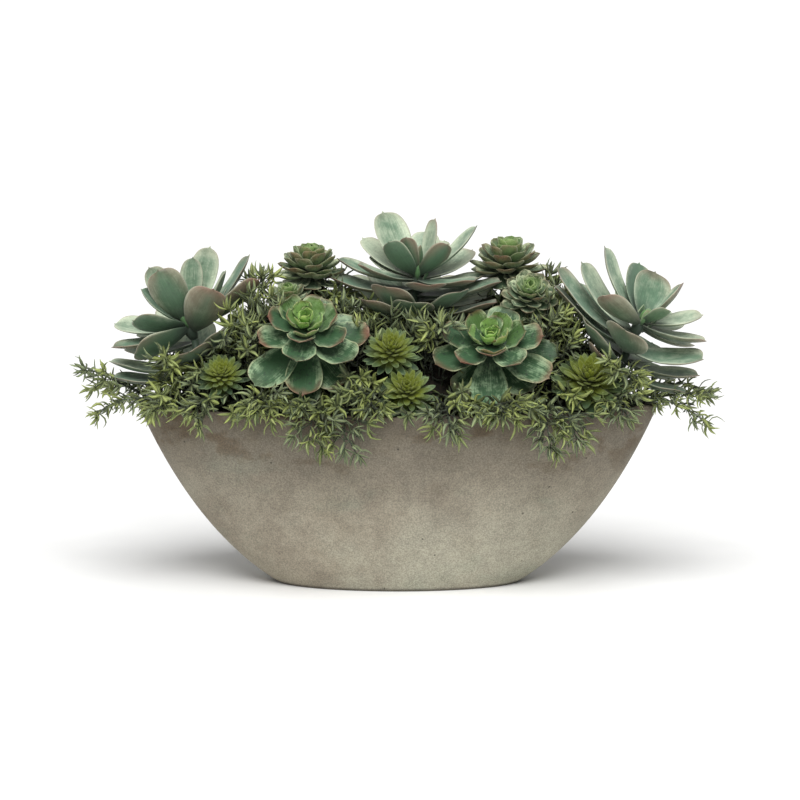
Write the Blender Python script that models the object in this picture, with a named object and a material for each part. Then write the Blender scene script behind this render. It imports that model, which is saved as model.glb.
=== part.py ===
"""A succulent arrangement in an oval, boat-shaped concrete bowl.

+X runs along the bowl, +Y to its back and +Z up, and the origin is the middle of its flat base.
Lengths are in millimetres and turn into metres where a mesh is made.
"""

import math
import random

import bmesh
import bpy
from mathutils import Quaternion, Vector
from mathutils.bvhtree import BVHTree

MM = 0.001
CLEARANCE = 0.4
SLIVER_HEIGHT = 0.01
UP = Vector((0.0, 0.0, 1.0))
ALONG = Vector((1.0, 0.0, 0.0))
SEED = 11

# Bowl
RIM_HALF_LENGTH = 280.0
RIM_HALF_DEPTH = 105.0
BASE_HALF_LENGTH = 131.6
BASE_HALF_DEPTH = 60.0
BOWL_HEIGHT = 195.6
FLARE_HALF_LENGTH = 221.6
FLARE_HEIGHT = 56.6
WALL = 12.0
EDGE = 2.0
BOWL_SIDES = 32
SIDE_HEIGHT = BOWL_HEIGHT - EDGE
OUTER_STEPS = (0.02, 0.18, 0.36, 0.56, 0.78, 1.0)
SMOOTH_UNDER = math.radians(35.0)
INNER_STEPS = (0.955, 0.62, 0.12)

# Soil
MOUND_RISE = 75.0
MOUND_POWER = 1.5
MOUND_STEPS = (0.84, 0.58, 0.25)
HOLE_DEPTH = 30.0
HOLE_ABOVE = 16.0

# Leaves: place, share of the width and share of the thickness of each ring, from root to tip, the
# keel's depth as a share of the thickness, how far up its core a leaf is rooted, the openings from the
# axis between which roots go down the stem, and how much of the room between its neighbours it may fill
BROAD_RINGS = ((0.0, 0.16, 1.0), (0.5, 0.9, 1.0), (0.83, 0.84, 0.7))
ROOT_RING = (0.0, 0.35, 1.0)
KEEL = 0.6
ROOT_RISE = 0.5
DROP_OPENINGS = (math.radians(84.0), math.radians(104.0))
ROOM_SHARE = 0.9
SPIKE_RINGS = ((0.55, 1.0, 1.0),)

# Styles: stem and core radius, how far the core rises from its centre, how far down the stem the lowest
# leaves are rooted, the leaves' thickness, how far their edges stand up and their middles sag as shares
# of width and length, and the sides of the core
LARGE = {
    "stem": 4.5, "core": 10.0, "rise": 13.0, "drop": 38.0, "thick": 4.0, "cup": 0.13, "sag": 0.08,
    "sides": 6, "rings": BROAD_RINGS,
}
MEDIUM = {
    "stem": 4.0, "core": 9.0, "rise": 11.0, "drop": 8.0, "thick": 3.6, "cup": 0.15, "sag": 0.1,
    "sides": 6, "rings": BROAD_RINGS,
}

# The tip of each leaf from its rosette's centre, the leaf's width and, where they are given, by how many
# degrees it is turned about its own length and how far down the stem it is rooted
LEFT_LEAVES = (
    (22, 18, 88, 31, 65), (4, 5, 78, 26, 60), (-32, -25, 67, 40), (-45, 10, 66, 31), (-52, 0, 44, 31),
    (28, -32, 47, 45, -60, 8), (40, -5, 64, 31), (66, 15, 78, 34), (77, -10, 55, 36, -35), (39, 30, 44, 29),
    (-84, 25, 2, 46), (-59, -30, 12, 38, 25), (-84, -10, -18, 41), (-56, -45, -22, 43, 40),
    (4, -75, -14, 50, 0, 32), (45, -60, 3, 43), (-88, 0, -36, 41, 0, 42), (-84, -14, -50, 41, 0, 50),
    (-72, 34, -34, 38), (64, 30, 18, 38),
    (-30, 70, 20, 43), (28, 66, 34, 43), (-58, 58, -8, 41), (52, 56, 2, 43), (2, 80, -8, 46),
)
CENTRE_LEAVES = (
    (-38, 32, 72, 48), (-60, 40, 42, 36), (-31, -25, 45, 29, 45), (-13, -22, 48, 22, 30), (4, -6, 40, 9),
    (20, 0, 68, 29), (12, 35, 51, 34), (29, 32, 45, 31), (34, -18, 42, 27, -45), (65, 8, 60, 31),
    (62, 40, 29, 41), (-50, 35, 24, 31), (-87, 12, 22, 36), (-65, -20, 15, 31), (-95, -5, 6, 41),
    (-94, 22, -13, 41), (-35, -70, 2, 50, 0, 36), (-56, -62, -14, 46, 0, 38), (14, -76, 4, 44, 0, 2),
    (49, -65, -4, 44, 0, 34), (62, -42, 6, 41), (91, -20, 3, 48, 0, 16), (75, 14, 5, 38),
    (86, -42, -19, 46, 0, 34), (-4, -76, -20, 46, 0, 38),
    (-42, 72, 2, 46), (8, 86, 8, 46), (54, 70, -4, 46), (88, 32, -14, 43), (-78, 52, -8, 43),
)
RIGHT_LEAVES = (
    (-38, 10, 85, 34, -15), (-62, 20, 67, 38, -18, 12), (-88, 5, 64, 38, -12, 20),
    (-92, -12, 46, 41, 0, 26), (-42, -36, 37, 35, 45), (19, 25, 56, 46), (2, 38, 64, 41),
    (48, 10, 46, 29, -50), (31, -20, 20, 24), (70, 5, 11, 38),
    (72, -15, -14, 41), (67, -35, -32, 46, 22, 28), (-20, -70, 6, 52, 0, 30), (-60, -50, 11, 46, 0, 44),
    (-48, -62, -20, 48, 0, 54), (66, -8, -52, 41, 0, 42), (50, -28, -68, 38, 0, 52),
    (-66, 54, 42, 43), (-8, 78, 26, 43), (46, 58, 4, 43),
    (62, 30, -24, 41), (20, 66, -28, 46), (40, 34, -60, 41), (-50, 74, 12, 43),
)
FRONT_LEFT_LEAVES = (
    (-2, -45, -67, 40), (-2, -36, -80, 40), (-53, -40, -57, 42), (-48, -30, -12, 34), (-40, -20, 14, 30),
    (-36, 28, 18, 28), (17, 34, 28, 34), (-11, 10, 21, 22), (13, 5, 20, 20), (0, -4, 23, 8),
    (31, 15, 16, 28), (56, 10, 9, 38), (-6, -38, -11, 30), (-9, -50, -26, 36), (41, -38, -10, 34),
    (70, -10, -12, 36), (52, -42, -35, 40), (38, -30, -60, 40), (-44, 36, -4, 34), (38, 46, -2, 36),
    (-4, 60, -4, 36),
)
FRONT_RIGHT_LEAVES = (
    (-10, 25, 34, 32), (6, 0, 30, 18), (-25, -15, 14, 20), (21, 22, 34, 36), (-52, -8, 14, 34),
    (-38, 22, 14, 28), (56, -15, 10, 36), (73, 0, -13, 36), (-33, -42, -15, 32), (30, -45, -15, 34),
    (-60, -32, -19, 38), (61, -38, -33, 38), (-4, -42, -62, 42), (0, -38, -8, 34), (8, -22, 6, 16),
    (-37, -26, -46, 36), (43, -22, -49, 36), (-36, 46, 0, 34), (34, 48, 6, 36), (0, 60, 4, 36),
)

# Rosettes: name, centre, axis, seat of the stem on the soil, style, leaves and kind of material
ROSETTES = (
    ("rosette_centre", (20, 20, 324), (0.05, -0.12, 1.0), (12, 12),
     LARGE, CENTRE_LEAVES, "large_leaf"),
    ("rosette_left", (-224, 5, 274), (-0.42, -0.1, 0.9), (-210, 2),
     LARGE, LEFT_LEAVES, "large_leaf"),
    ("rosette_right", (258, 0, 278), (0.5, -0.1, 0.86), (226, 2),
     LARGE, RIGHT_LEAVES, "large_leaf"),
    ("rosette_front_left", (-98, -48, 283), (0.0, -0.7, 0.71), (-92, -22),
     MEDIUM, FRONT_LEFT_LEAVES, "medium_leaf"),
    ("rosette_front_right", (98, -48, 266), (0.0, -0.7, 0.71), (94, -22),
     MEDIUM, FRONT_RIGHT_LEAVES, "medium_leaf"),
)

# Styles of heads whose leaves stand in rows round a core, outermost row first: opening from the axis
# in degrees and share of the leaf length. A leaf is as broad as a share of its length
DENSE_HEAD = {
    "stem": 2.8, "core": 8.0, "rise": 18.0, "thick": 2.6, "cup": 0.14, "sag": 0.12, "sides": 6,
    "broad": 0.52,
    "rows": ((104.0, 1.0), (78.0, 0.98), (52.0, 0.9), (26.0, 0.78)),
    "rings": SPIKE_RINGS,
}
LIME_HEAD = {
    "stem": 2.6, "core": 7.0, "rise": 11.0, "thick": 2.4, "cup": 0.06, "sag": 0.08, "sides": 6,
    "broad": 0.3,
    "rows": ((92.0, 1.0), (70.0, 0.94), (46.0, 0.78), (22.0, 0.6)),
    "rings": SPIKE_RINGS,
}
BACK_ROSETTE = {
    "stem": 4.0, "core": 11.0, "rise": 12.0, "thick": 3.6, "cup": 0.15, "sag": 0.1, "sides": 5,
    "broad": 0.56,
    "rows": ((98.0, 1.0), (72.0, 0.9), (44.0, 0.66), (20.0, 0.4)),
    "rings": BROAD_RINGS[1:],
}

# Rings of a core: height and radius as shares of its rise and radius
BARE_CORE_RINGS = ((-0.4, 1.0), (0.4, 0.9))
CORE_RINGS = ((-0.6, 0.75), (-0.15, 1.0), (0.25, 0.9), (0.6, 0.62), (0.9, 0.28))

# Heads: name, centre, axis, seat of the stem on the soil, style, leaf length and kind of material
HEADS = (
    ("rosette_back_left", (-104, 52, 276), (-0.1, 0.62, 0.78), (-100, 30), BACK_ROSETTE, 68, "medium_leaf"),
    ("rosette_back_right", (108, 54, 268), (0.12, 0.62, 0.78), (104, 32), BACK_ROSETTE, 70, "medium_leaf"),
    ("dense_head_left", (-95, 34, 334), (0.0, -0.1, 1.0), (-84, 12), DENSE_HEAD, 42, "dense_leaf"),
    ("dense_head_right", (119, 40, 338), (0.0, -0.12, 1.0), (112, 14), DENSE_HEAD, 46, "dense_leaf"),
    ("dense_head_low_left", (-116, 0, 304), (-0.1, -0.35, 0.93), (-124, 0), DENSE_HEAD, 30, "dense_leaf"),
    ("dense_head_low_right", (140, -5, 309), (0.05, -0.6, 0.8), (140, -2), DENSE_HEAD, 35, "dense_leaf"),
    ("dense_head_back", (4, 68, 276), (0.0, 0.5, 0.86), (2, 56), DENSE_HEAD, 34, "dense_leaf"),
    ("lime_head_left", (-186, -62, 233), (0.0, -0.72, 0.69), (-180, -38), LIME_HEAD, 30, "lime_leaf"),
    ("lime_head_upper", (-7, -66, 259), (0.0, -0.66, 0.75), (-6, -34), LIME_HEAD, 35, "lime_leaf"),
    ("lime_head_lower", (9, -86, 219), (0.0, -0.72, 0.69), (10, -74), LIME_HEAD, 35, "lime_leaf"),
    ("lime_head_right", (201, -56, 226), (0.05, -0.62, 0.78), (186, -34), LIME_HEAD, 45, "lime_leaf"),
    ("lime_head_back_left", (-186, 62, 226), (-0.1, 0.7, 0.7), (-174, 44), LIME_HEAD, 34, "lime_leaf"),
    ("lime_head_back", (-2, 90, 222), (0.0, 0.72, 0.69), (-4, 76), LIME_HEAD, 34, "lime_leaf"),
    ("lime_head_back_right", (190, 60, 228), (0.1, 0.7, 0.7), (176, 44), LIME_HEAD, 38, "lime_leaf"),
)

# Sprigs: their stems, the arch that they follow and their narrow leaves
SPRIG_SIDES = 3
SPRIG_STEM = 1.4
SPRIG_TWIG = 1.1
SPRIG_ARCH = 24.0
CROWN_SHARE = 0.62
SPRIG_COLLAR = 4.0
SPRIG_LEAF = 14.0
LEAF_SPREAD = (0.85, 1.2)
LEAF_ROW = 3.8
STEM_STOPS = ((0.3, "bare"), (0.5, "leafy"), (0.74, "leafy"), (0.97, "bare"))
STEM_TAPER = 0.3
END_TAPER = 0.5
OPEN_ALONG = 58.0
OPEN_AT_END = (64.0, 46.0, 28.0)
END_LEAF = 12.0
END_REACH = LEAF_ROW * len(OPEN_AT_END) + END_LEAF
TWIG_AT = 0.6
TWIG_LENGTH = 20.0
TWIG_WAY = (0.6, 0.7, 0.3)
STRAY_TURN = 20.0
STRAY_OPEN = 12.0

# Ways to bend a leaf clear of other plants: lift and swing in degrees, then shares of its size
LEAF_TURNS = (
    (0, 0), (5, 0), (-5, 0), (0, 6), (0, -6), (8, 8), (8, -8), (-8, 8), (-8, -8), (14, 0), (-14, 0),
    (0, 14), (0, -14), (16, 12), (16, -12), (22, 0), (26, 14), (26, -14),
)
LEAF_SIZES = (1.0, 0.86, 0.72)
FREE_FROM = 0.3

# Ways to lead a sprig clear of other plants: shifts of its seat, then of its crown
SEAT_SHIFTS = (
    (0, 0), (6, 0), (-6, 0), (0, 6), (0, -6), (9, 6), (-9, 6), (9, -6), (-9, -6), (14, 0), (-14, 0),
)
LEANS = (
    (0, 0, 0), (0, 0, 8), (6, 0, 4), (-6, 0, 4), (0, 0, 16), (12, 0, 8), (-12, 0, 8), (0, 6, 10),
    (0, -6, 10), (18, 0, 14), (-18, 0, 14), (0, 0, 26), (24, 0, 20), (-24, 0, 20),
)

# Each sprig's seat on the soil and the tip that its main stem reaches
SPRIGS = (
    ((-236, -10), (-337, -16, 236)), ((-232, -28), (-320, -38, 190)), ((-234, 16), (-332, 26, 206)),
    ((-226, -40), (-262, -64, 196)), ((-190, -56), (-214, -94, 196)), ((-140, -64), (-146, -108, 204)),
    ((-84, -72), (-92, -120, 174)), ((-54, -74), (-56, -124, 166)), ((-26, -72), (-30, -114, 206)),
    ((46, -74), (54, -120, 184)), ((106, -70), (108, -114, 198)), ((148, -64), (158, -114, 166)),
    ((172, -60), (186, -110, 172)), ((224, -42), (234, -80, 194)), ((236, -12), (334, -24, 210)),
    ((230, -28), (330, -34, 176)), ((236, 14), (337, 18, 204)), ((-160, -20), (-160, -46, 284)),
    ((-142, 14), (-146, 8, 330)), ((-52, 16), (-60, 21, 310)), ((36, -28), (46, -64, 284)),
    ((150, -24), (162, -42, 288)), ((152, 30), (166, 36, 330)), ((206, -24), (232, -70, 240)),
    ((-214, -16), (-250, -57, 252)), ((-200, 44), (-216, 94, 182)), ((-142, 62), (-152, 114, 190)),
    ((-64, 72), (-66, 122, 166)), ((42, 72), (40, 120, 184)), ((96, 70), (100, 120, 172)),
    ((144, 62), (156, 110, 188)), ((202, 44), (224, 90, 178)), ((-152, 30), (-164, 58, 276)),
    ((52, 58), (52, 88, 244)), ((160, 40), (181, 63, 274)), ((-40, 56), (-46, 92, 240)),
    ((-172, 6), (-180, 10, 258)), ((182, 2), (179, -8, 296)),
)

COLOURS = {
    "bowl": ((0.38, 0.35, 0.31), 0.85),
    "soil": ((0.03, 0.025, 0.02), 0.95),
    "large_leaf": ((0.19, 0.29, 0.22), 0.5),
    "medium_leaf": ((0.15, 0.26, 0.13), 0.5),
    "dense_leaf": ((0.12, 0.2, 0.08), 0.55),
    "lime_leaf": ((0.22, 0.33, 0.1), 0.5),
    "sprig_leaf": ((0.2, 0.28, 0.1), 0.55),
}


def clear_scene():
    """Start from an empty scene."""
    for item in list(bpy.data.objects):
        bpy.data.objects.remove(item, do_unlink=True)


def material(name):
    """The plain material of one kind of piece."""
    found = bpy.data.materials.get(name)
    if found:
        return found
    made = bpy.data.materials.new(name)
    made.use_nodes = True
    colour, roughness = COLOURS[name]
    shader = made.node_tree.nodes["Principled BSDF"]
    shader.inputs["Base Color"].default_value = (*colour, 1.0)
    shader.inputs["Roughness"].default_value = roughness
    shader.inputs["Metallic"].default_value = 0.0
    return made


def solid(name, piece, kind):
    """An object of one piece, which is a list of points and a list of faces."""
    points, faces = piece
    mesh = bpy.data.meshes.new(name)
    mesh.from_pydata([point * MM for point in points], [], faces)
    form = bmesh.new()
    form.from_mesh(mesh)
    bmesh.ops.recalc_face_normals(form, faces=form.faces)
    form.to_mesh(mesh)
    form.free()
    mesh.materials.append(material(kind))
    made = bpy.data.objects.new(name, mesh)
    bpy.context.scene.collection.objects.link(made)
    return made


def remove_solid(item):
    """Take an object and its mesh away."""
    mesh = item.data
    bpy.data.objects.remove(item, do_unlink=True)
    bpy.data.meshes.remove(mesh)


def frame_of(direction, reference=ALONG):
    """Two unit vectors across a direction, the first one as near to a reference as can be."""
    first = (reference - direction * reference.dot(direction)).normalized()
    return first, direction.cross(first)


def ring_of(centre, direction, radius, sides, half_turns=0, reference=ALONG):
    """Points of a round ring across a direction, turned by a number of half sides."""
    first, second = frame_of(direction, reference)
    turns = [2.0 * math.pi * (step + half_turns / 2.0) / sides for step in range(sides)]
    return [centre + (first * math.cos(turn) + second * math.sin(turn)) * radius for turn in turns]


def loft(rings, tip=None):
    """Skin rings of equal count in one closed piece, flat at its start and flat or pointed at its end."""
    sides = len(rings[0])
    points = [point for ring in rings for point in ring]
    faces = [tuple(reversed(range(sides)))]
    for row in range(len(rings) - 1):
        faces += straight_row(row * sides, (row + 1) * sides, sides)
    last = (len(rings) - 1) * sides
    if tip is None:
        faces.append(tuple(range(last, last + sides)))
    else:
        points.append(tip)
        faces += [(last + side, last + (side + 1) % sides, len(points) - 1) for side in range(sides)]
    return points, faces


def straight_row(low, high, sides):
    """Triangles between two rings that aren't turned against each other."""
    faces = []
    for side in range(sides):
        other = (side + 1) % sides
        faces.append((low + side, low + other, high + other))
        faces.append((low + side, high + other, high + side))
    return faces


def oval(half_length, half_depth, height):
    """A level oval ring of the bowl or the soil."""
    turns = [2.0 * math.pi * side / BOWL_SIDES for side in range(BOWL_SIDES)]
    return [Vector((half_length * math.cos(t), half_depth * math.sin(t), height)) for t in turns]


def bowl_section(step, inset=0.0):
    """Half length, half depth and height of the bowl at a step from 0 at its base to 1 at its rim."""
    rest = 1.0 - step
    length = rest * rest * BASE_HALF_LENGTH + step * step * RIM_HALF_LENGTH
    length += 2.0 * rest * step * FLARE_HALF_LENGTH
    height = 2.0 * rest * step * FLARE_HEIGHT + step * step * SIDE_HEIGHT
    run = rest * (FLARE_HALF_LENGTH - BASE_HALF_LENGTH) + step * (RIM_HALF_LENGTH - FLARE_HALF_LENGTH)
    climb = rest * FLARE_HEIGHT + step * (SIDE_HEIGHT - FLARE_HEIGHT)
    spread = (length - BASE_HALF_LENGTH) / (RIM_HALF_LENGTH - BASE_HALF_LENGTH)
    depth = BASE_HALF_DEPTH + spread * (RIM_HALF_DEPTH - BASE_HALF_DEPTH)
    across = inset * math.hypot(run, climb) / climb
    return length - across, depth - inset, height


def make_bowl():
    """The concrete bowl in one closed skin, from its inner floor over the rim to its base."""
    rings = [oval(*bowl_section(step, WALL)) for step in (*reversed(INNER_STEPS), 1.0)]
    length, depth, _ = bowl_section(1.0, WALL - EDGE)
    rings.append(oval(length, depth, BOWL_HEIGHT))
    rings.append(oval(RIM_HALF_LENGTH - EDGE, RIM_HALF_DEPTH - EDGE, BOWL_HEIGHT))
    rings += [oval(*bowl_section(step)) for step in reversed(OUTER_STEPS)]
    rings.append(oval(BASE_HALF_LENGTH - EDGE, BASE_HALF_DEPTH - EDGE, 0.0))
    bowl = solid("bowl", loft(rings), "bowl")
    bowl.data.shade_smooth()
    bowl.data.set_sharp_from_angle(angle=SMOOTH_UNDER)
    return bowl


def mound_height(x, y):
    """Height of the soil over a place in the bowl."""
    length, depth, edge = bowl_section(INNER_STEPS[0], WALL)
    inside = max(0.0, 1.0 - (x / length) ** 2 - (y / depth) ** 2)
    return edge + MOUND_RISE * inside**MOUND_POWER


def make_soil(stems):
    """The soil: the bowl's filling with a low mound on it and a plain hole for every stem."""
    inset = WALL + CLEARANCE
    rings = []
    for step in reversed(INNER_STEPS):
        length, depth, height = bowl_section(step, inset)
        lift = CLEARANCE if step == INNER_STEPS[-1] else 0.0
        rings.append(oval(length, depth, height + lift))
    length, depth, _ = bowl_section(INNER_STEPS[0], inset)
    for share in MOUND_STEPS:
        rings.append(oval(length * share, depth * share, mound_height(length * share, 0.0)))
    soil = solid("soil", loft(rings, Vector((0.0, 0.0, mound_height(0.0, 0.0)))), "soil")
    if stems:
        join_with(soil, [solid("hole", hole_of(stem), "soil") for stem in stems], "DIFFERENCE")
        turn_slivers(soil)
    return soil


def hole_of(stem):
    """The straight hole that a stem stands in, open above the soil."""
    seat, direction, radius, sides, reference = stem
    wide = radius + CLEARANCE / math.cos(math.pi / sides)
    bottom = seat - direction * (HOLE_DEPTH + CLEARANCE)
    top = seat + direction * HOLE_ABOVE
    return loft([ring_of(end, direction, wide, sides, 0, reference) for end in (bottom, top)])


def join_with(base, others, operation):
    """Apply one Boolean with a collection of objects, which then go."""
    group = bpy.data.collections.new(base.name + "_pieces")
    bpy.context.scene.collection.children.link(group)
    for item in others:
        bpy.context.scene.collection.objects.unlink(item)
        group.objects.link(item)
    change = base.modifiers.new("join", "BOOLEAN")
    change.operation = operation
    change.operand_type = "COLLECTION"
    change.collection = group
    change.solver = "MANIFOLD"
    seen = base.evaluated_get(bpy.context.evaluated_depsgraph_get())
    joined = bpy.data.meshes.new_from_object(seen)
    base.modifiers.clear()
    before = base.data
    base.data = joined
    bpy.data.meshes.remove(before)
    for item in others:
        remove_solid(item)
    bpy.data.collections.remove(group)


def shell_volume(faces):
    """Signed volume inside a set of triangles."""
    return sum(f.verts[0].co.dot(f.verts[1].co.cross(f.verts[2].co)) for f in faces) / 6.0


def keep_main_body(item):
    """Fill sealed hollows and drop loose scraps: only the largest closed shell stays."""
    form = bmesh.new()
    form.from_mesh(item.data)
    bmesh.ops.triangulate(form, faces=form.faces)
    left = set(form.faces)
    shells = []
    while left:
        shell, front = set(), [left.pop()]
        while front:
            face = front.pop()
            shell.add(face)
            near = {other for edge in face.edges for other in edge.link_faces} & left
            left -= near
            front += near
        shells.append(shell)
    main = max(shells, key=shell_volume)
    spare = [face for shell in shells if shell is not main for face in shell]
    bmesh.ops.delete(form, geom=spare, context="FACES")
    form.to_mesh(item.data)
    form.free()


def turn_slivers(item):
    """Turn the longest edge of every triangle with almost no height into its neighbour's diagonal."""
    form = bmesh.new()
    form.from_mesh(item.data)
    bmesh.ops.triangulate(form, faces=form.faces)
    for face in list(form.faces):
        if face.is_valid:
            longest = max(face.edges, key=lambda edge: edge.calc_length())
            if 2.0 * face.calc_area() < longest.calc_length() * SLIVER_HEIGHT * MM:
                bmesh.utils.edge_rotate(longest)
    form.to_mesh(item.data)
    form.free()


def fuse(name, pieces, kind):
    """Join a plant's pieces in one closed body."""
    base = solid(name, pieces[0], kind)
    if len(pieces) > 1:
        join_with(base, [solid(f"{name}_piece", piece, kind) for piece in pieces[1:]], "UNION")
        keep_main_body(base)
        turn_slivers(base)
    return base


class Bed:
    """What already grows in the bowl, so that later pieces can be bent clear of it."""

    def __init__(self):
        self.items = []

    def add(self, owner, pieces):
        """Remember pieces that belong to one plant."""
        for points, faces in pieces:
            low = Vector([min(point[axis] for point in points) for axis in range(3)])
            high = Vector([max(point[axis] for point in points) for axis in range(3)])
            self.items.append((owner, low, high, BVHTree.FromPolygons(points, faces)))

    def is_clear(self, owner, piece, beside=()):
        """Whether a piece crosses nothing of others, apart from those that it may stand in."""
        points, faces = piece
        low = Vector([min(point[axis] for point in points) for axis in range(3)])
        high = Vector([max(point[axis] for point in points) for axis in range(3)])
        tree = BVHTree.FromPolygons(points, faces)
        for other, other_low, other_high, other_tree in self.items:
            if other == owner or other in beside:
                continue
            if any(low[k] > other_high[k] or high[k] < other_low[k] for k in range(3)):
                continue
            if tree.overlap(other_tree):
                return False
        return True


def blade_rings(root, tip, axis, width, style, margin=0.0):
    """Rings of a cupped leaf from root to tip, each of a left, a right and a keel point."""
    line = tip - root
    ahead = line.normalized()
    above = (axis - ahead * axis.dot(ahead)).normalized()
    side = above.cross(ahead)
    rings = []
    for place, wide, deep in style["rings"]:
        sink = -style["sag"] * line.length * math.sin(math.pi * place)
        middle = root + line * place + above * sink
        half = width * wide / 2.0 + margin
        edge = middle + above * style["cup"] * width * wide
        keel = middle - above * (style["thick"] * deep * KEEL + margin)
        rings.append([edge + side * half, edge - side * half, keel])
    return rings, tip + ahead * margin


def leaf_faces(rows, tip):
    """Triangles of a leaf over rows of left, right and keel, split alike on its two sides."""
    faces = []
    for low, high in zip(rows, rows[1:]):
        faces += [(low[0], low[1], high[1]), (low[0], high[1], high[0])]
        faces += [(low[1], low[2], high[2]), (low[1], high[2], high[1])]
        faces += [(low[2], low[0], high[2]), (low[0], high[0], high[2])]
    last = rows[-1]
    return faces + [(last[side], last[(side + 1) % len(last)], tip) for side in range(len(last))]


def blade(root, tip, axis, width, style, margin=0.0):
    """One leaf as a closed piece."""
    if style["rings"][0][0] > 0.0:
        style = {**style, "rings": (ROOT_RING, *style["rings"])}
    rings, end = blade_rings(root, tip, axis, width, style, margin)
    points = [point for ring in rings for point in ring] + [end]
    rows = [list(range(3 * row, 3 * row + 3)) for row in range(len(rings))]
    return points, leaf_faces(rows, len(points) - 1) + [(2, 1, 0)]


class Skin:
    """A closed skin that grows ring by ring, with leaves raised from its turned rows."""

    def __init__(self, ring):
        self.points = list(ring)
        self.sides = len(ring)
        self.faces = [tuple(reversed(range(self.sides)))]
        self.low = 0

    def add_ring(self, ring):
        """Add the points of the next ring and return where they start."""
        start = len(self.points)
        self.points += ring
        return start

    def bare(self, ring):
        """A row to a ring that isn't turned against the last one."""
        high = self.add_ring(ring)
        self.faces += straight_row(self.low, high, self.sides)
        self.low = high

    def leafy(self, ring, leaf_at):
        """A row to a ring turned by half a side. leaf_at(side, root) gives a leaf or None."""
        low, high = self.low, self.add_ring(ring)
        for side in range(self.sides):
            other = (side + 1) % self.sides
            self.faces.append((low + side, low + other, high + side))
            foot = [high + other, high + side, low + other]
            root = sum((self.points[corner] for corner in foot), Vector()) / 3.0
            self.raise_leaf(foot, leaf_at(side, root))
        self.low = high

    def raise_leaf(self, foot, leaf):
        """A leaf on a triangle of the skin, or the plain triangle."""
        if leaf is None:
            self.faces.append(tuple(foot))
            return
        rings, tip = leaf
        rows = [foot]
        for ring in rings:
            start = self.add_ring(ring)
            rows.append(list(range(start, start + len(ring))))
        self.points.append(tip)
        self.faces += leaf_faces(rows, len(self.points) - 1)

    def close(self, tip):
        """End in a point."""
        self.points.append(tip)
        last = self.low
        self.faces += [(last + side, last + (side + 1) % self.sides, len(self.points) - 1)
                       for side in range(self.sides)]
        return self.points, self.faces


def bend_clear(bed, owner, root, tip, axis, width, style, mates=()):
    """Lift, swing or shorten a leaf until it crosses no other plant, and if it can be none of its mates."""
    fallback = None
    for size in LEAF_SIZES:
        for lift, swing in LEAF_TURNS:
            line = (tip - root) * size
            line.rotate(Quaternion(line.cross(axis).normalized(), math.radians(lift)))
            line.rotate(Quaternion(axis, math.radians(swing)))
            wide = width * size
            if not bed.is_clear(owner, blade(root, root + line, axis, wide, style, CLEARANCE)):
                continue
            foot = root + line * FREE_FROM
            free_part = blade(foot, root + line, axis, wide, {**style, "rings": BROAD_RINGS})
            tree = BVHTree.FromPolygons(*free_part)
            if not any(tree.overlap(mate) for mate in mates):
                return root + line, wide, tree
            fallback = fallback or (root + line, wide, tree)
    return fallback


def seat_on_soil(place):
    """The point of the soil's surface at a place in the bowl."""
    return Vector((place[0], place[1], mound_height(*place)))


def stem_of(centre, axis, seat, style):
    """A straight stem up to a core: its seat, direction, radius, sides and what its ring points along."""
    neck = centre - axis * style["rise"]
    return seat, (neck - seat).normalized(), style["stem"], style["sides"], ALONG


def core_rings(centre, axis, stem, style, turned):
    """Rings of a stem's two ends and of the core on it, each turned by so many half sides from the last."""
    seat, climb, radius, sides, _ = stem
    rings = [
        ring_of(seat - climb * HOLE_DEPTH, climb, radius, sides),
        ring_of(centre - axis * style["rise"], climb, radius, sides),
    ]
    for step, (height, share) in enumerate(style["core_rings"]):
        middle = centre + axis * style["rise"] * height
        rings.append(ring_of(middle, axis, style["core"] * share, sides, step * turned))
    return rings


def bare_core(centre, axis, stem, style):
    """A stem and its core with no leaves on."""
    rings = core_rings(centre, axis, stem, {**style, "core_rings": BARE_CORE_RINGS}, 0)
    return loft(rings, centre + axis * style["rise"])


def leaf_root(centre, axis, stem, style, line, down=None):
    """Where a leaf with a given line to its tip grows: on the core, or down the stem if it lies open."""
    opening = axis.angle(line)
    if down is None:
        low, high = DROP_OPENINGS
        down = style["drop"] * min(1.0, max(0.0, (opening - low) / (high - low)))
    if down <= style["rise"]:
        return centre + axis * (style["rise"] * ROOT_RISE * math.cos(opening) - down)
    neck = centre - axis * style["rise"]
    return neck - stem[1] * (down - style["rise"])


def grow_rosette(bed, name, centre, axis, stem, style, leaves):
    """Leaves with given tips round a core, each bent clear of the other plants."""
    pieces = [bare_core(centre, axis, stem, style)]
    mates = []
    for x, y, z, width, *more in leaves:
        line = Vector((x, y, z))
        root = leaf_root(centre, axis, stem, style, line, *more[1:])
        upper = axis.copy()
        upper.rotate(Quaternion(line.normalized(), math.radians(sum(more[:1]))))
        found = bend_clear(bed, name, root, centre + line, upper, width, style, mates)
        if found:
            tip, wide, free = found
            mates.append(free)
            pieces.append(blade(root, tip, upper, wide, style))
    return pieces


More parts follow.
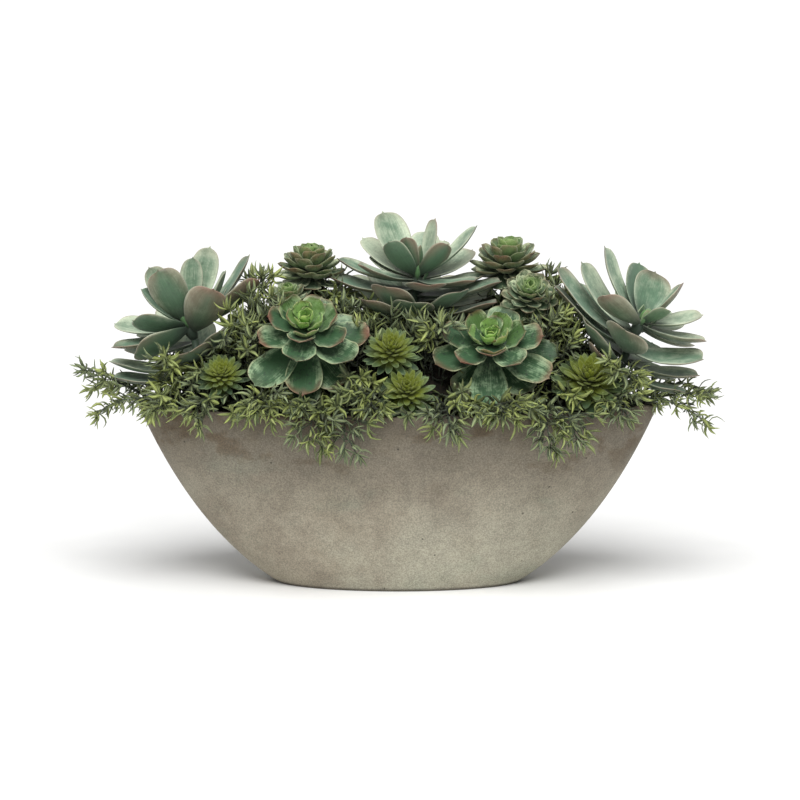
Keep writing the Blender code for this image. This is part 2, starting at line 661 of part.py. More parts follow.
def grow_head(bed, name, centre, axis, stem, style, length):
    """A head whose leaves stand in rows round its core, wide open below and upright at its heart."""
    rings = core_rings(centre, axis, stem, {**style, "core_rings": CORE_RINGS}, 1)
    skin = Skin(rings[0])
    for ring in rings[1:3]:
        skin.bare(ring)
    first, second = frame_of(axis)
    for row, (opening, share) in enumerate(style["rows"]):
        reach = length * share
        tilt = math.radians(opening)
        room = 2.0 * math.pi * reach * style["rings"][-1][0] * math.sin(tilt) / style["sides"]
        wide = min(reach * style["broad"], room * ROOM_SHARE)

        def leaf_at(side, root):
            turn = 2.0 * math.pi * (side + 1.0 + row / 2.0) / style["sides"]
            out = first * math.cos(turn) + second * math.sin(turn)
            tip = centre + (out * math.sin(tilt) + axis * math.cos(tilt)) * reach
            found = bend_clear(bed, name, root, tip, axis, wide, style)
            if found is None:
                return None
            return blade_rings(root, found[0], axis, found[1], style)

        skin.leafy(rings[3 + row], leaf_at)
    return [skin.close(centre + axis * style["rise"])]


def sprig_curve(seat, tip, lean):
    """Where a sprig's arch starts, the crown that it heads for, and the stem's way out of the soil."""
    crown = seat.lerp(tip, 0.5)
    if tip.z < seat.z + SPRIG_ARCH:
        crown.z = max(seat.z, tip.z) + SPRIG_ARCH
    else:
        crown.z = seat.lerp(tip, CROWN_SHARE).z
    crown += lean
    climb = (crown - seat).normalized()
    return seat + climb * SPRIG_COLLAR, crown, climb


def on_arch(start, crown, tip, share):
    """A point of a sprig's arch and the direction there."""
    rest = 1.0 - share
    point = start * rest * rest + crown * 2.0 * rest * share + tip * share * share
    ahead = (crown - start) * rest + (tip - crown) * share
    return point, ahead.normalized()


def stem_places(start, crown, tip):
    """Points and directions at a sprig's stops along its stem, and the reach of its leafy end."""
    places = [on_arch(start, crown, tip, share) for share, _ in STEM_STOPS]
    end, ahead = places[-1]
    return places + [(end + ahead * END_REACH, ahead)]


def tube(places, radius):
    """A bare tube through places, to test a way with."""
    across = UP.cross(places[-1][0] - places[0][0]).normalized()
    return loft([ring_of(point, ahead, radius, SPRIG_SIDES, 0, across) for point, ahead in places])


def clear_sprig_way(bed, name, place, tip):
    """The first way from a seat to a tip that crosses no other plant."""
    radius = SPRIG_STEM + 2.0 * CLEARANCE
    for shift in SEAT_SHIFTS:
        seat = seat_on_soil((place[0] + shift[0], place[1] + shift[1]))
        for lean in LEANS:
            start, crown, climb = sprig_curve(seat, tip, Vector(lean))
            stem = (seat, climb, SPRIG_STEM, SPRIG_SIDES, UP.cross(tip - start).normalized())
            places = stem_places(start, crown, tip)
            low = tube([(start, climb), places[0]], radius)
            in_soil = all(bed.is_clear(name, piece, ("soil",)) for piece in (hole_of(stem), low))
            if in_soil and bed.is_clear(name, tube(places, radius)):
                return start, crown, stem
    return None


class Shoot:
    """A sprig's stem or twig, which grows from place to place, bare or with a row of leaves."""

    def __init__(self, bed, name, centre, ahead, across, radius, chance):
        self.bed = bed
        self.name = name
        self.across = across
        self.radius = radius
        self.chance = chance
        self.half_turns = 0
        self.leaves = []
        self.skin = Skin(self.ring(centre, ahead))

    def ring(self, centre, ahead, share=1.0):
        """The ring at a place, thinner by a share."""
        return ring_of(centre, ahead, self.radius * share, SPRIG_SIDES, self.half_turns, self.across)

    def bare_to(self, centre, ahead, share=1.0):
        """Grow on with no leaves."""
        self.skin.bare(self.ring(centre, ahead, share))

    def leafy_to(self, centre, ahead, opening, share=1.0):
        """Grow on by one row of leaves and return its end."""
        beyond = centre + ahead * LEAF_ROW
        self.half_turns += 1
        self.skin.leafy(self.ring(beyond, ahead, share), self.leaf_rule(centre, ahead, opening))
        return beyond

    def leaf_rule(self, centre, ahead, opening):
        """A rule for the leaves of one row."""

        def leaf_at(_, root):
            out = (root - centre) - ahead * (root - centre).dot(ahead)
            out.normalize()
            out.rotate(Quaternion(ahead, math.radians(self.chance.uniform(-STRAY_TURN, STRAY_TURN))))
            tilt = math.radians(opening + self.chance.uniform(-STRAY_OPEN, STRAY_OPEN))
            length = SPRIG_LEAF * self.chance.uniform(*LEAF_SPREAD)
            tip = root + (out * math.sin(tilt) + ahead * math.cos(tilt)) * length
            if not self.bed.is_clear(self.name, needle(root, tip, LEAF_ROW / 2.0 + CLEARANCE)):
                return None
            tree = BVHTree.FromPolygons(*needle(root.lerp(tip, FREE_FROM), tip, self.radius))
            if any(tree.overlap(leaf) for leaf in self.leaves):
                return None
            self.leaves.append(tree)
            return [], tip

        return leaf_at

    def end(self, centre, ahead):
        """Rows of leaves that close towards the tip, and one more leaf straight ahead."""
        for row, opening in enumerate(OPEN_AT_END, start=1):
            thin = (1.0 - STEM_TAPER) * (1.0 - END_TAPER * row / len(OPEN_AT_END))
            centre = self.leafy_to(centre, ahead, opening, thin)
        return self.skin.close(centre + ahead * END_LEAF)


def needle(root, tip, radius):
    """A pointed three-sided piece round a narrow leaf, to test its place with."""
    ahead = (tip - root).normalized()
    return loft([ring_of(root, ahead, radius, SPRIG_SIDES, 0, ahead.orthogonal())], tip + ahead * CLEARANCE)


def grow_sprig(bed, name, start, crown, tip, stem, chance):
    """A bunch's main stem with leaves in rows along it and a leafy end, and a leafy twig to its side."""
    seat, climb, radius, _, across = stem
    shoot = Shoot(bed, name, seat - climb * HOLE_DEPTH, climb, across, radius, chance)
    shoot.bare_to(start, climb)
    for (share, kind), (centre, ahead) in zip(STEM_STOPS, stem_places(start, crown, tip)):
        thin = 1.0 - STEM_TAPER * share
        shoot.bare_to(centre, ahead, thin)
        if kind == "leafy":
            shoot.leafy_to(centre, ahead, OPEN_ALONG, thin)
    pieces = [shoot.end(centre, ahead)]
    root, ahead = on_arch(start, crown, tip, TWIG_AT)
    onward, aside, upward = TWIG_WAY
    line = (ahead * onward + across * chance.choice((-aside, aside)) + UP * upward).normalized()
    end = root + line * TWIG_LENGTH
    guard = tube([(root, line), (end + line * END_REACH, line)], SPRIG_TWIG + 2.0 * CLEARANCE)
    if bed.is_clear(name, guard):
        twig = Shoot(bed, name, root, line, line.orthogonal(), SPRIG_TWIG, chance)
        twig.bare_to(end, line)
        pieces.append(twig.end(end, line))
    return pieces


def place_solid(bed, name, item):
    """Remember a finished object's faces."""
    points = [vertex.co / MM for vertex in item.data.vertices]
    bed.add(name, [(points, [tuple(face.vertices) for face in item.data.polygons])])


def make_arrangement():
    """All plants, the soil under them and the bowl."""
    bed = Bed()
    place_solid(bed, "bowl", make_bowl())
    ground = make_soil([])
    place_solid(bed, "soil", ground)
    remove_solid(ground)
    plants = []
    stems = []
    for name, centre, axis, place, style, shape, kind in ROSETTES + HEADS:
        centre, axis = Vector(centre), Vector(axis).normalized()
        stem = stem_of(centre, axis, seat_on_soil(place), style)
        stems.append(stem)
        bed.add(name, [bare_core(centre, axis, stem, style), hole_of(stem)])
        plants.append((name, centre, axis, stem, style, shape, kind))
    for name, centre, axis, stem, style, shape, kind in plants:
        grow = grow_rosette if isinstance(shape, tuple) else grow_head
        pieces = grow(bed, name, centre, axis, stem, style, shape)
        bed.add(name, pieces)
        fuse(name, pieces, kind)
    chance = random.Random(SEED)
    for order, (place, tip) in enumerate(SPRIGS, start=1):
        name = f"sprig_{order:02d}"
        tip = Vector(tip)
        found = clear_sprig_way(bed, name, place, tip)
        if found is None:
            raise ValueError(f"{name} has no way past the other plants")
        start, crown, stem = found
        stems.append(stem)
        pieces = grow_sprig(bed, name, start, crown, tip, stem, chance)
        bed.add(name, pieces + [hole_of(stem)])
        fuse(name, pieces, "sprig_leaf")
    make_soil(stems)


clear_scene()
make_arrangement()
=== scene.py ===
"""The looks of a succulent arrangement in an oval, boat-shaped concrete bowl.

The layout and the rules by which the plants grow clear of each other are those of the solids, so that
each fine leaf lies where the solid's leaf lies. Lengths are in millimetres and turn into metres where
a mesh is made. Leaves, sprigs, soil and bowl are meshes made in code, with procedural materials.
"""

import math
import random

import bpy
import numpy as np
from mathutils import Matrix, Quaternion, Vector, noise
from mathutils.bvhtree import BVHTree


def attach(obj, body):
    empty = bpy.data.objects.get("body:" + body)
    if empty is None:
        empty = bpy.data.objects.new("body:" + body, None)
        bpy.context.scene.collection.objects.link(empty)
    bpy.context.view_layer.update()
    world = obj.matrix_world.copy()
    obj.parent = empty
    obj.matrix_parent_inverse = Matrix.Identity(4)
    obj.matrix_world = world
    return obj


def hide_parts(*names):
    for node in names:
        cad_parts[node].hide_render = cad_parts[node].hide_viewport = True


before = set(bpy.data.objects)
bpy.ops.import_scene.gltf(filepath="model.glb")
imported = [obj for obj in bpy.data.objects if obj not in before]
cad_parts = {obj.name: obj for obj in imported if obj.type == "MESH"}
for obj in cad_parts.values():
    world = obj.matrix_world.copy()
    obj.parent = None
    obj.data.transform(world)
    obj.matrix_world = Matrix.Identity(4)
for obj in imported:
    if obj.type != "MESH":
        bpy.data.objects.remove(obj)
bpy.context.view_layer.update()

MM = 0.001
CLEARANCE = 0.4
UP = Vector((0.0, 0.0, 1.0))
ALONG = Vector((1.0, 0.0, 0.0))
SEED = 11

# Bowl
RIM_HALF_LENGTH = 280.0
RIM_HALF_DEPTH = 105.0
BASE_HALF_LENGTH = 131.6
BASE_HALF_DEPTH = 60.0
BOWL_HEIGHT = 195.6
FLARE_HALF_LENGTH = 221.6
FLARE_HEIGHT = 56.6
WALL = 12.0
EDGE = 2.0
RIM_CORNERS = (30, 60, 90)
BOWL_SIDES = 32
SIDE_HEIGHT = BOWL_HEIGHT - EDGE
OUTER_STEPS = (0.02, 0.18, 0.36, 0.56, 0.78, 1.0)
INNER_STEPS = (0.955, 0.62, 0.12)

# Soil
MOUND_RISE = 75.0
MOUND_POWER = 1.5
MOUND_STEPS = (0.84, 0.58, 0.25)
HOLE_DEPTH = 30.0
HOLE_ABOVE = 16.0

# Leaves: place, share of the width and share of the thickness of each ring, from root to tip, the
# keel's depth as a share of the thickness, how far up its core a leaf is rooted, the openings from the
# axis between which roots go down the stem, and how much of the room between its neighbours it may fill
BROAD_RINGS = ((0.0, 0.16, 1.0), (0.5, 0.9, 1.0), (0.83, 0.84, 0.7))
ROOT_RING = (0.0, 0.35, 1.0)
KEEL = 0.6
ROOT_RISE = 0.5
DROP_OPENINGS = (math.radians(84.0), math.radians(104.0))
ROOM_SHARE = 0.9
SPIKE_RINGS = ((0.55, 1.0, 1.0),)

# Styles: stem and core radius, how far the core rises from its centre, how far down the stem the lowest
# leaves are rooted, the leaves' thickness, how far their edges stand up and their middles sag as shares
# of width and length, and the sides of the core
LARGE = {
    "stem": 4.5, "core": 10.0, "rise": 13.0, "drop": 38.0, "thick": 4.0, "cup": 0.13, "sag": 0.08,
    "sides": 6, "rings": BROAD_RINGS,
}
MEDIUM = {
    "stem": 4.0, "core": 9.0, "rise": 11.0, "drop": 8.0, "thick": 3.6, "cup": 0.15, "sag": 0.1,
    "sides": 6, "rings": BROAD_RINGS,
}

# The tip of each leaf from its rosette's centre, the leaf's width and, where they are given, by how many
# degrees it is turned about its own length and how far down the stem it is rooted
LEFT_LEAVES = (
    (22, 18, 88, 31, 65), (4, 5, 78, 26, 60), (-32, -25, 67, 40), (-45, 10, 66, 31), (-52, 0, 44, 31),
    (28, -32, 47, 45, -60, 8), (40, -5, 64, 31), (66, 15, 78, 34), (77, -10, 55, 36, -35), (39, 30, 44, 29),
    (-84, 25, 2, 46), (-59, -30, 12, 38, 25), (-84, -10, -18, 41), (-56, -45, -22, 43, 40),
    (4, -75, -14, 50, 0, 32), (45, -60, 3, 43), (-88, 0, -36, 41, 0, 42), (-84, -14, -50, 41, 0, 50),
    (-72, 34, -34, 38), (64, 30, 18, 38),
    (-30, 70, 20, 43), (28, 66, 34, 43), (-58, 58, -8, 41), (52, 56, 2, 43), (2, 80, -8, 46),
)
CENTRE_LEAVES = (
    (-38, 32, 72, 48), (-60, 40, 42, 36), (-31, -25, 45, 29, 45), (-13, -22, 48, 22, 30), (4, -6, 40, 9),
    (20, 0, 68, 29), (12, 35, 51, 34), (29, 32, 45, 31), (34, -18, 42, 27, -45), (65, 8, 60, 31),
    (62, 40, 29, 41), (-50, 35, 24, 31), (-87, 12, 22, 36), (-65, -20, 15, 31), (-95, -5, 6, 41),
    (-94, 22, -13, 41), (-35, -70, 2, 50, 0, 36), (-56, -62, -14, 46, 0, 38), (14, -76, 4, 44, 0, 2),
    (49, -65, -4, 44, 0, 34), (62, -42, 6, 41), (91, -20, 3, 48, 0, 16), (75, 14, 5, 38),
    (86, -42, -19, 46, 0, 34), (-4, -76, -20, 46, 0, 38),
    (-42, 72, 2, 46), (8, 86, 8, 46), (54, 70, -4, 46), (88, 32, -14, 43), (-78, 52, -8, 43),
)
RIGHT_LEAVES = (
    (-38, 10, 85, 34, -15), (-62, 20, 67, 38, -18, 12), (-88, 5, 64, 38, -12, 20),
    (-92, -12, 46, 41, 0, 26), (-42, -36, 37, 35, 45), (19, 25, 56, 46), (2, 38, 64, 41),
    (48, 10, 46, 29, -50), (31, -20, 20, 24), (70, 5, 11, 38),
    (72, -15, -14, 41), (67, -35, -32, 46, 22, 28), (-20, -70, 6, 52, 0, 30), (-60, -50, 11, 46, 0, 44),
    (-48, -62, -20, 48, 0, 54), (66, -8, -52, 41, 0, 42), (50, -28, -68, 38, 0, 52),
    (-66, 54, 42, 43), (-8, 78, 26, 43), (46, 58, 4, 43),
    (62, 30, -24, 41), (20, 66, -28, 46), (40, 34, -60, 41), (-50, 74, 12, 43),
)
FRONT_LEFT_LEAVES = (
    (-2, -45, -67, 40), (-2, -36, -80, 40), (-53, -40, -57, 42), (-48, -30, -12, 34), (-40, -20, 14, 30),
    (-36, 28, 18, 28), (17, 34, 28, 34), (-11, 10, 21, 22), (13, 5, 20, 20), (0, -4, 23, 8),
    (31, 15, 16, 28), (56, 10, 9, 38), (-6, -38, -11, 30), (-9, -50, -26, 36), (41, -38, -10, 34),
    (70, -10, -12, 36), (52, -42, -35, 40), (38, -30, -60, 40), (-44, 36, -4, 34), (38, 46, -2, 36),
    (-4, 60, -4, 36),
)
FRONT_RIGHT_LEAVES = (
    (-10, 25, 34, 32), (6, 0, 30, 18), (-25, -15, 14, 20), (21, 22, 34, 36), (-52, -8, 14, 34),
    (-38, 22, 14, 28), (56, -15, 10, 36), (73, 0, -13, 36), (-33, -42, -15, 32), (30, -45, -15, 34),
    (-60, -32, -19, 38), (61, -38, -33, 38), (-4, -42, -62, 42), (0, -38, -8, 34), (8, -22, 6, 16),
    (-37, -26, -46, 36), (43, -22, -49, 36), (-36, 46, 0, 34), (34, 48, 6, 36), (0, 60, 4, 36),
)

# Rosettes: name, centre, axis, seat of the stem on the soil, style, leaves and kind of material
ROSETTES = (
    ("rosette_centre", (20, 20, 324), (0.05, -0.12, 1.0), (12, 12),
     LARGE, CENTRE_LEAVES, "large_leaf"),
    ("rosette_left", (-224, 5, 274), (-0.42, -0.1, 0.9), (-210, 2),
     LARGE, LEFT_LEAVES, "large_leaf"),
    ("rosette_right", (258, 0, 278), (0.5, -0.1, 0.86), (226, 2),
     LARGE, RIGHT_LEAVES, "large_leaf"),
    ("rosette_front_left", (-98, -48, 283), (0.0, -0.7, 0.71), (-92, -22),
     MEDIUM, FRONT_LEFT_LEAVES, "medium_leaf"),
    ("rosette_front_right", (98, -48, 266), (0.0, -0.7, 0.71), (94, -22),
     MEDIUM, FRONT_RIGHT_LEAVES, "medium_leaf"),
)

# Styles of heads whose leaves stand in rows round a core, outermost row first: opening from the axis
# in degrees and share of the leaf length. A leaf is as broad as a share of its length
DENSE_HEAD = {
    "stem": 2.8, "core": 8.0, "rise": 18.0, "thick": 2.6, "cup": 0.14, "sag": 0.12, "sides": 6,
    "broad": 0.52,
    "rows": ((104.0, 1.0), (78.0, 0.98), (52.0, 0.9), (26.0, 0.78)),
    "rings": SPIKE_RINGS,
}
LIME_HEAD = {
    "stem": 2.6, "core": 7.0, "rise": 11.0, "thick": 2.4, "cup": 0.06, "sag": 0.08, "sides": 6,
    "broad": 0.3,
    "rows": ((92.0, 1.0), (70.0, 0.94), (46.0, 0.78), (22.0, 0.6)),
    "rings": SPIKE_RINGS,
}
BACK_ROSETTE = {
    "stem": 4.0, "core": 11.0, "rise": 12.0, "thick": 3.6, "cup": 0.15, "sag": 0.1, "sides": 5,
    "broad": 0.56,
    "rows": ((98.0, 1.0), (72.0, 0.9), (44.0, 0.66), (20.0, 0.4)),
    "rings": BROAD_RINGS[1:],
}

# Rings of a core: height and radius as shares of its rise and radius
BARE_CORE_RINGS = ((-0.4, 1.0), (0.4, 0.9))
CORE_RINGS = ((-0.6, 0.75), (-0.15, 1.0), (0.25, 0.9), (0.6, 0.62), (0.9, 0.28))

# Heads: name, centre, axis, seat of the stem on the soil, style, leaf length and kind of material
HEADS = (
    ("rosette_back_left", (-104, 52, 276), (-0.1, 0.62, 0.78), (-100, 30), BACK_ROSETTE, 68, "medium_leaf"),
    ("rosette_back_right", (108, 54, 268), (0.12, 0.62, 0.78), (104, 32), BACK_ROSETTE, 70, "medium_leaf"),
    ("dense_head_left", (-95, 34, 334), (0.0, -0.1, 1.0), (-84, 12), DENSE_HEAD, 42, "dense_leaf"),
    ("dense_head_right", (119, 40, 338), (0.0, -0.12, 1.0), (112, 14), DENSE_HEAD, 46, "dense_leaf"),
    ("dense_head_low_left", (-116, 0, 304), (-0.1, -0.35, 0.93), (-124, 0), DENSE_HEAD, 30, "dense_leaf"),
    ("dense_head_low_right", (140, -5, 309), (0.05, -0.6, 0.8), (140, -2), DENSE_HEAD, 35, "dense_leaf"),
    ("dense_head_back", (4, 68, 276), (0.0, 0.5, 0.86), (2, 56), DENSE_HEAD, 34, "dense_leaf"),
    ("lime_head_left", (-186, -62, 233), (0.0, -0.72, 0.69), (-180, -38), LIME_HEAD, 30, "lime_leaf"),
    ("lime_head_upper", (-7, -66, 259), (0.0, -0.66, 0.75), (-6, -34), LIME_HEAD, 35, "lime_leaf"),
    ("lime_head_lower", (9, -86, 219), (0.0, -0.72, 0.69), (10, -74), LIME_HEAD, 35, "lime_leaf"),
    ("lime_head_right", (201, -56, 226), (0.05, -0.62, 0.78), (186, -34), LIME_HEAD, 45, "lime_leaf"),
    ("lime_head_back_left", (-186, 62, 226), (-0.1, 0.7, 0.7), (-174, 44), LIME_HEAD, 34, "lime_leaf"),
    ("lime_head_back", (-2, 90, 222), (0.0, 0.72, 0.69), (-4, 76), LIME_HEAD, 34, "lime_leaf"),
    ("lime_head_back_right", (190, 60, 228), (0.1, 0.7, 0.7), (176, 44), LIME_HEAD, 38, "lime_leaf"),
)

# Sprigs: their stems, the arch that they follow and their narrow leaves
SPRIG_SIDES = 3
SPRIG_STEM = 1.4
SPRIG_TWIG = 1.1
SPRIG_ARCH = 24.0
CROWN_SHARE = 0.62
SPRIG_COLLAR = 4.0
SPRIG_LEAF = 14.0
LEAF_SPREAD = (0.85, 1.2)
LEAF_ROW = 3.8
STEM_STOPS = ((0.3, "bare"), (0.5, "leafy"), (0.74, "leafy"), (0.97, "bare"))
STEM_TAPER = 0.3
END_TAPER = 0.5
OPEN_ALONG = 58.0
OPEN_AT_END = (64.0, 46.0, 28.0)
END_LEAF = 12.0
END_REACH = LEAF_ROW * len(OPEN_AT_END) + END_LEAF
TWIG_AT = 0.6
TWIG_LENGTH = 20.0
TWIG_WAY = (0.6, 0.7, 0.3)
STRAY_TURN = 20.0
STRAY_OPEN = 12.0

# Ways to bend a leaf clear of other plants: lift and swing in degrees, then shares of its size
LEAF_TURNS = (
    (0, 0), (5, 0), (-5, 0), (0, 6), (0, -6), (8, 8), (8, -8), (-8, 8), (-8, -8), (14, 0), (-14, 0),
    (0, 14), (0, -14), (16, 12), (16, -12), (22, 0), (26, 14), (26, -14),
)
LEAF_SIZES = (1.0, 0.86, 0.72)
FREE_FROM = 0.3

# Ways to lead a sprig clear of other plants: shifts of its seat, then of its crown
SEAT_SHIFTS = (
    (0, 0), (6, 0), (-6, 0), (0, 6), (0, -6), (9, 6), (-9, 6), (9, -6), (-9, -6), (14, 0), (-14, 0),
)
LEANS = (
    (0, 0, 0), (0, 0, 8), (6, 0, 4), (-6, 0, 4), (0, 0, 16), (12, 0, 8), (-12, 0, 8), (0, 6, 10),
    (0, -6, 10), (18, 0, 14), (-18, 0, 14), (0, 0, 26), (24, 0, 20), (-24, 0, 20),
)

# Each sprig's seat on the soil and the tip that its main stem reaches
SPRIGS = (
    ((-236, -10), (-337, -16, 236)), ((-232, -28), (-320, -38, 190)), ((-234, 16), (-332, 26, 206)),
    ((-226, -40), (-262, -64, 196)), ((-190, -56), (-214, -94, 196)), ((-140, -64), (-146, -108, 204)),
    ((-84, -72), (-92, -120, 174)), ((-54, -74), (-56, -124, 166)), ((-26, -72), (-30, -114, 206)),
    ((46, -74), (54, -120, 184)), ((106, -70), (108, -114, 198)), ((148, -64), (158, -114, 166)),
    ((172, -60), (186, -110, 172)), ((224, -42), (234, -80, 194)), ((236, -12), (334, -24, 210)),
    ((230, -28), (330, -34, 176)), ((236, 14), (337, 18, 204)), ((-160, -20), (-160, -46, 284)),
    ((-142, 14), (-146, 8, 330)), ((-52, 16), (-60, 21, 310)), ((36, -28), (46, -64, 284)),
    ((150, -24), (162, -42, 288)), ((152, 30), (166, 36, 330)), ((206, -24), (232, -70, 240)),
    ((-214, -16), (-250, -57, 252)), ((-200, 44), (-216, 94, 182)), ((-142, 62), (-152, 114, 190)),
    ((-64, 72), (-66, 122, 166)), ((42, 72), (40, 120, 184)), ((96, 70), (100, 120, 172)),
    ((144, 62), (156, 110, 188)), ((202, 44), (224, 90, 178)), ((-152, 30), (-164, 58, 276)),
    ((52, 58), (52, 88, 244)), ((160, 40), (181, 63, 274)), ((-40, 56), (-46, 92, 240)),
    ((-172, 6), (-180, 10, 258)), ((182, 2), (179, -8, 296)),
)


def clamp(value):
    """A value held between 0 and 1."""
    return min(1.0, max(0.0, value))


def even_turns(count, shift=0.0):
    """Angles of places spaced evenly round a circle, moved on by a share of their step."""
    return [2.0 * math.pi * (step + shift) / count for step in range(count)]


def turned(first, second, angle):
    """A direction turned from a first one towards a second one across it."""
    return first * math.cos(angle) + second * math.sin(angle)


def frame_of(direction, reference=ALONG):
    """Two unit vectors across a direction, the first one as near to a reference as can be."""
    first = (reference - direction * reference.dot(direction)).normalized()
    return first, direction.cross(first)


def ring_of(centre, direction, radius, sides, half_turns=0, reference=ALONG):
    """Points of a round ring across a direction, turned by a number of half sides."""
    first, second = frame_of(direction, reference)
    return [centre + turned(first, second, turn) * radius for turn in even_turns(sides, half_turns / 2.0)]


def oval(sides, length, depth, height):
    """Points of a level oval ring."""
    return [Vector((length * math.cos(t), depth * math.sin(t), height)) for t in even_turns(sides)]


def loft(rings, tip=None):
    """Skin rings of equal count in one closed piece, flat at its start and flat or pointed at its end."""
    sides = len(rings[0])
    points = [point for ring in rings for point in ring]
    faces = [tuple(reversed(range(sides)))]
    for row in range(len(rings) - 1):
        faces += straight_row(row * sides, (row + 1) * sides, sides)
    last = (len(rings) - 1) * sides
    if tip is None:
        faces.append(tuple(range(last, last + sides)))
    else:
        points.append(tip)
        faces += [(last + side, last + (side + 1) % sides, len(points) - 1) for side in range(sides)]
    return points, faces


def straight_row(low, high, sides):
    """Triangles between two rings that aren't turned against each other."""
    faces = []
    for side in range(sides):
        other = (side + 1) % sides
        faces.append((low + side, low + other, high + other))
        faces.append((low + side, high + other, high + side))
    return faces


def bowl_section(step, inset=0.0):
    """Half length, half depth and height of the bowl at a step from 0 at its base to 1 at its rim."""
    rest = 1.0 - step
    length = rest * rest * BASE_HALF_LENGTH + step * step * RIM_HALF_LENGTH
    length += 2.0 * rest * step * FLARE_HALF_LENGTH
    height = 2.0 * rest * step * FLARE_HEIGHT + step * step * SIDE_HEIGHT
    run = rest * (FLARE_HALF_LENGTH - BASE_HALF_LENGTH) + step * (RIM_HALF_LENGTH - FLARE_HALF_LENGTH)
    climb = rest * FLARE_HEIGHT + step * (SIDE_HEIGHT - FLARE_HEIGHT)
    spread = (length - BASE_HALF_LENGTH) / (RIM_HALF_LENGTH - BASE_HALF_LENGTH)
    depth = BASE_HALF_DEPTH + spread * (RIM_HALF_DEPTH - BASE_HALF_DEPTH)
    across = inset * math.hypot(run, climb) / climb
    return length - across, depth - inset, height


def mound_height(x, y):
    """Height of the soil over a place in the bowl."""
    length, depth, edge = bowl_section(INNER_STEPS[0], WALL)
    inside = max(0.0, 1.0 - (x / length) ** 2 - (y / depth) ** 2)
    return edge + MOUND_RISE * inside**MOUND_POWER


def hole_of(stem):
    """The straight hole that a stem stands in, open above the soil."""
    seat, direction, radius, sides, reference = stem
    wide = radius + CLEARANCE / math.cos(math.pi / sides)
    bottom = seat - direction * (HOLE_DEPTH + CLEARANCE)
    top = seat + direction * HOLE_ABOVE
    return loft([ring_of(end, direction, wide, sides, 0, reference) for end in (bottom, top)])


def box_and_tree(piece):
    """The lowest and the highest corner of a closed piece, and the tree to find crossings with."""
    points, faces = piece
    corners = [Vector([pick(point[axis] for point in points) for axis in range(3)]) for pick in (min, max)]
    return (*corners, BVHTree.FromPolygons(points, faces))


class Bed:
    """What already grows in the bowl, so that later pieces can be bent clear of it."""

    def __init__(self):
        self.items = []

    def add(self, owner, pieces):
        """Remember pieces that belong to one plant."""
        self.items += [(owner, *box_and_tree(piece)) for piece in pieces]

    def is_clear(self, owner, piece, beside=()):
        """Whether a piece crosses nothing of others, apart from those that it may stand in."""
        low, high, tree = box_and_tree(piece)
        for other, other_low, other_high, other_tree in self.items:
            if other == owner or other in beside:
                continue
            if any(low[k] > other_high[k] or high[k] < other_low[k] for k in range(3)):
                continue
            if tree.overlap(other_tree):
                return False
        return True


def blade_rings(root, tip, axis, width, style, margin=0.0):
    """Rings of a cupped leaf from root to tip, each of a left, a right and a keel point."""
    line = tip - root
    ahead = line.normalized()
    above = (axis - ahead * axis.dot(ahead)).normalized()
    side = above.cross(ahead)
    rings = []
    for place, wide, deep in style["rings"]:
        sink = -style["sag"] * line.length * math.sin(math.pi * place)
        middle = root + line * place + above * sink
        half = width * wide / 2.0 + margin
        edge = middle + above * style["cup"] * width * wide
        keel = middle - above * (style["thick"] * deep * KEEL + margin)
        rings.append([edge + side * half, edge - side * half, keel])
    return rings, tip + ahead * margin


def leaf_faces(rows, tip):
    """Triangles of a leaf over rows of left, right and keel, split alike on its two sides."""
    faces = []
    for low, high in zip(rows, rows[1:]):
        faces += [(low[0], low[1], high[1]), (low[0], high[1], high[0])]
        faces += [(low[1], low[2], high[2]), (low[1], high[2], high[1])]
        faces += [(low[2], low[0], high[2]), (low[0], high[0], high[2])]
    last = rows[-1]
    return faces + [(last[side], last[(side + 1) % len(last)], tip) for side in range(len(last))]


def blade(root, tip, axis, width, style, margin=0.0):
    """One leaf as a closed piece."""
    if style["rings"][0][0] > 0.0:
        style = {**style, "rings": (ROOT_RING, *style["rings"])}
    rings, end = blade_rings(root, tip, axis, width, style, margin)
    points = [point for ring in rings for point in ring] + [end]
    rows = [list(range(3 * row, 3 * row + 3)) for row in range(len(rings))]
    return points, leaf_faces(rows, len(points) - 1) + [(2, 1, 0)]


class Skin:
    """A closed skin that grows ring by ring, with leaves raised from its turned rows."""

    def __init__(self, ring):
        self.points = list(ring)
        self.sides = len(ring)
        self.faces = [tuple(reversed(range(self.sides)))]
        self.low = 0

    def add_ring(self, ring):
        """Add the points of the next ring and return where they start."""
        start = len(self.points)
        self.points += ring
        return start

    def bare(self, ring):
        """A row to a ring that isn't turned against the last one."""
        high = self.add_ring(ring)
        self.faces += straight_row(self.low, high, self.sides)
        self.low = high

    def leafy(self, ring, leaf_at):
        """A row to a ring turned by half a side. leaf_at(side, root) gives a leaf or None."""
        low, high = self.low, self.add_ring(ring)
        for side in range(self.sides):
            other = (side + 1) % self.sides
            self.faces.append((low + side, low + other, high + side))
            foot = [high + other, high + side, low + other]
            root = sum((self.points[corner] for corner in foot), Vector()) / 3.0
            self.raise_leaf(foot, leaf_at(side, root))
        self.low = high

    def raise_leaf(self, foot, leaf):
        """A leaf on a triangle of the skin, or the plain triangle."""
        if leaf is None:
            self.faces.append(tuple(foot))
            return
        rings, tip = leaf
        rows = [foot]
        for ring in rings:
            start = self.add_ring(ring)
            rows.append(list(range(start, start + len(ring))))
        self.points.append(tip)
        self.faces += leaf_faces(rows, len(self.points) - 1)

    def close(self, tip):
        """End in a point."""
        self.points.append(tip)
        last = self.low
        self.faces += [(last + side, last + (side + 1) % self.sides, len(self.points) - 1)
                       for side in range(self.sides)]
        return self.points, self.faces


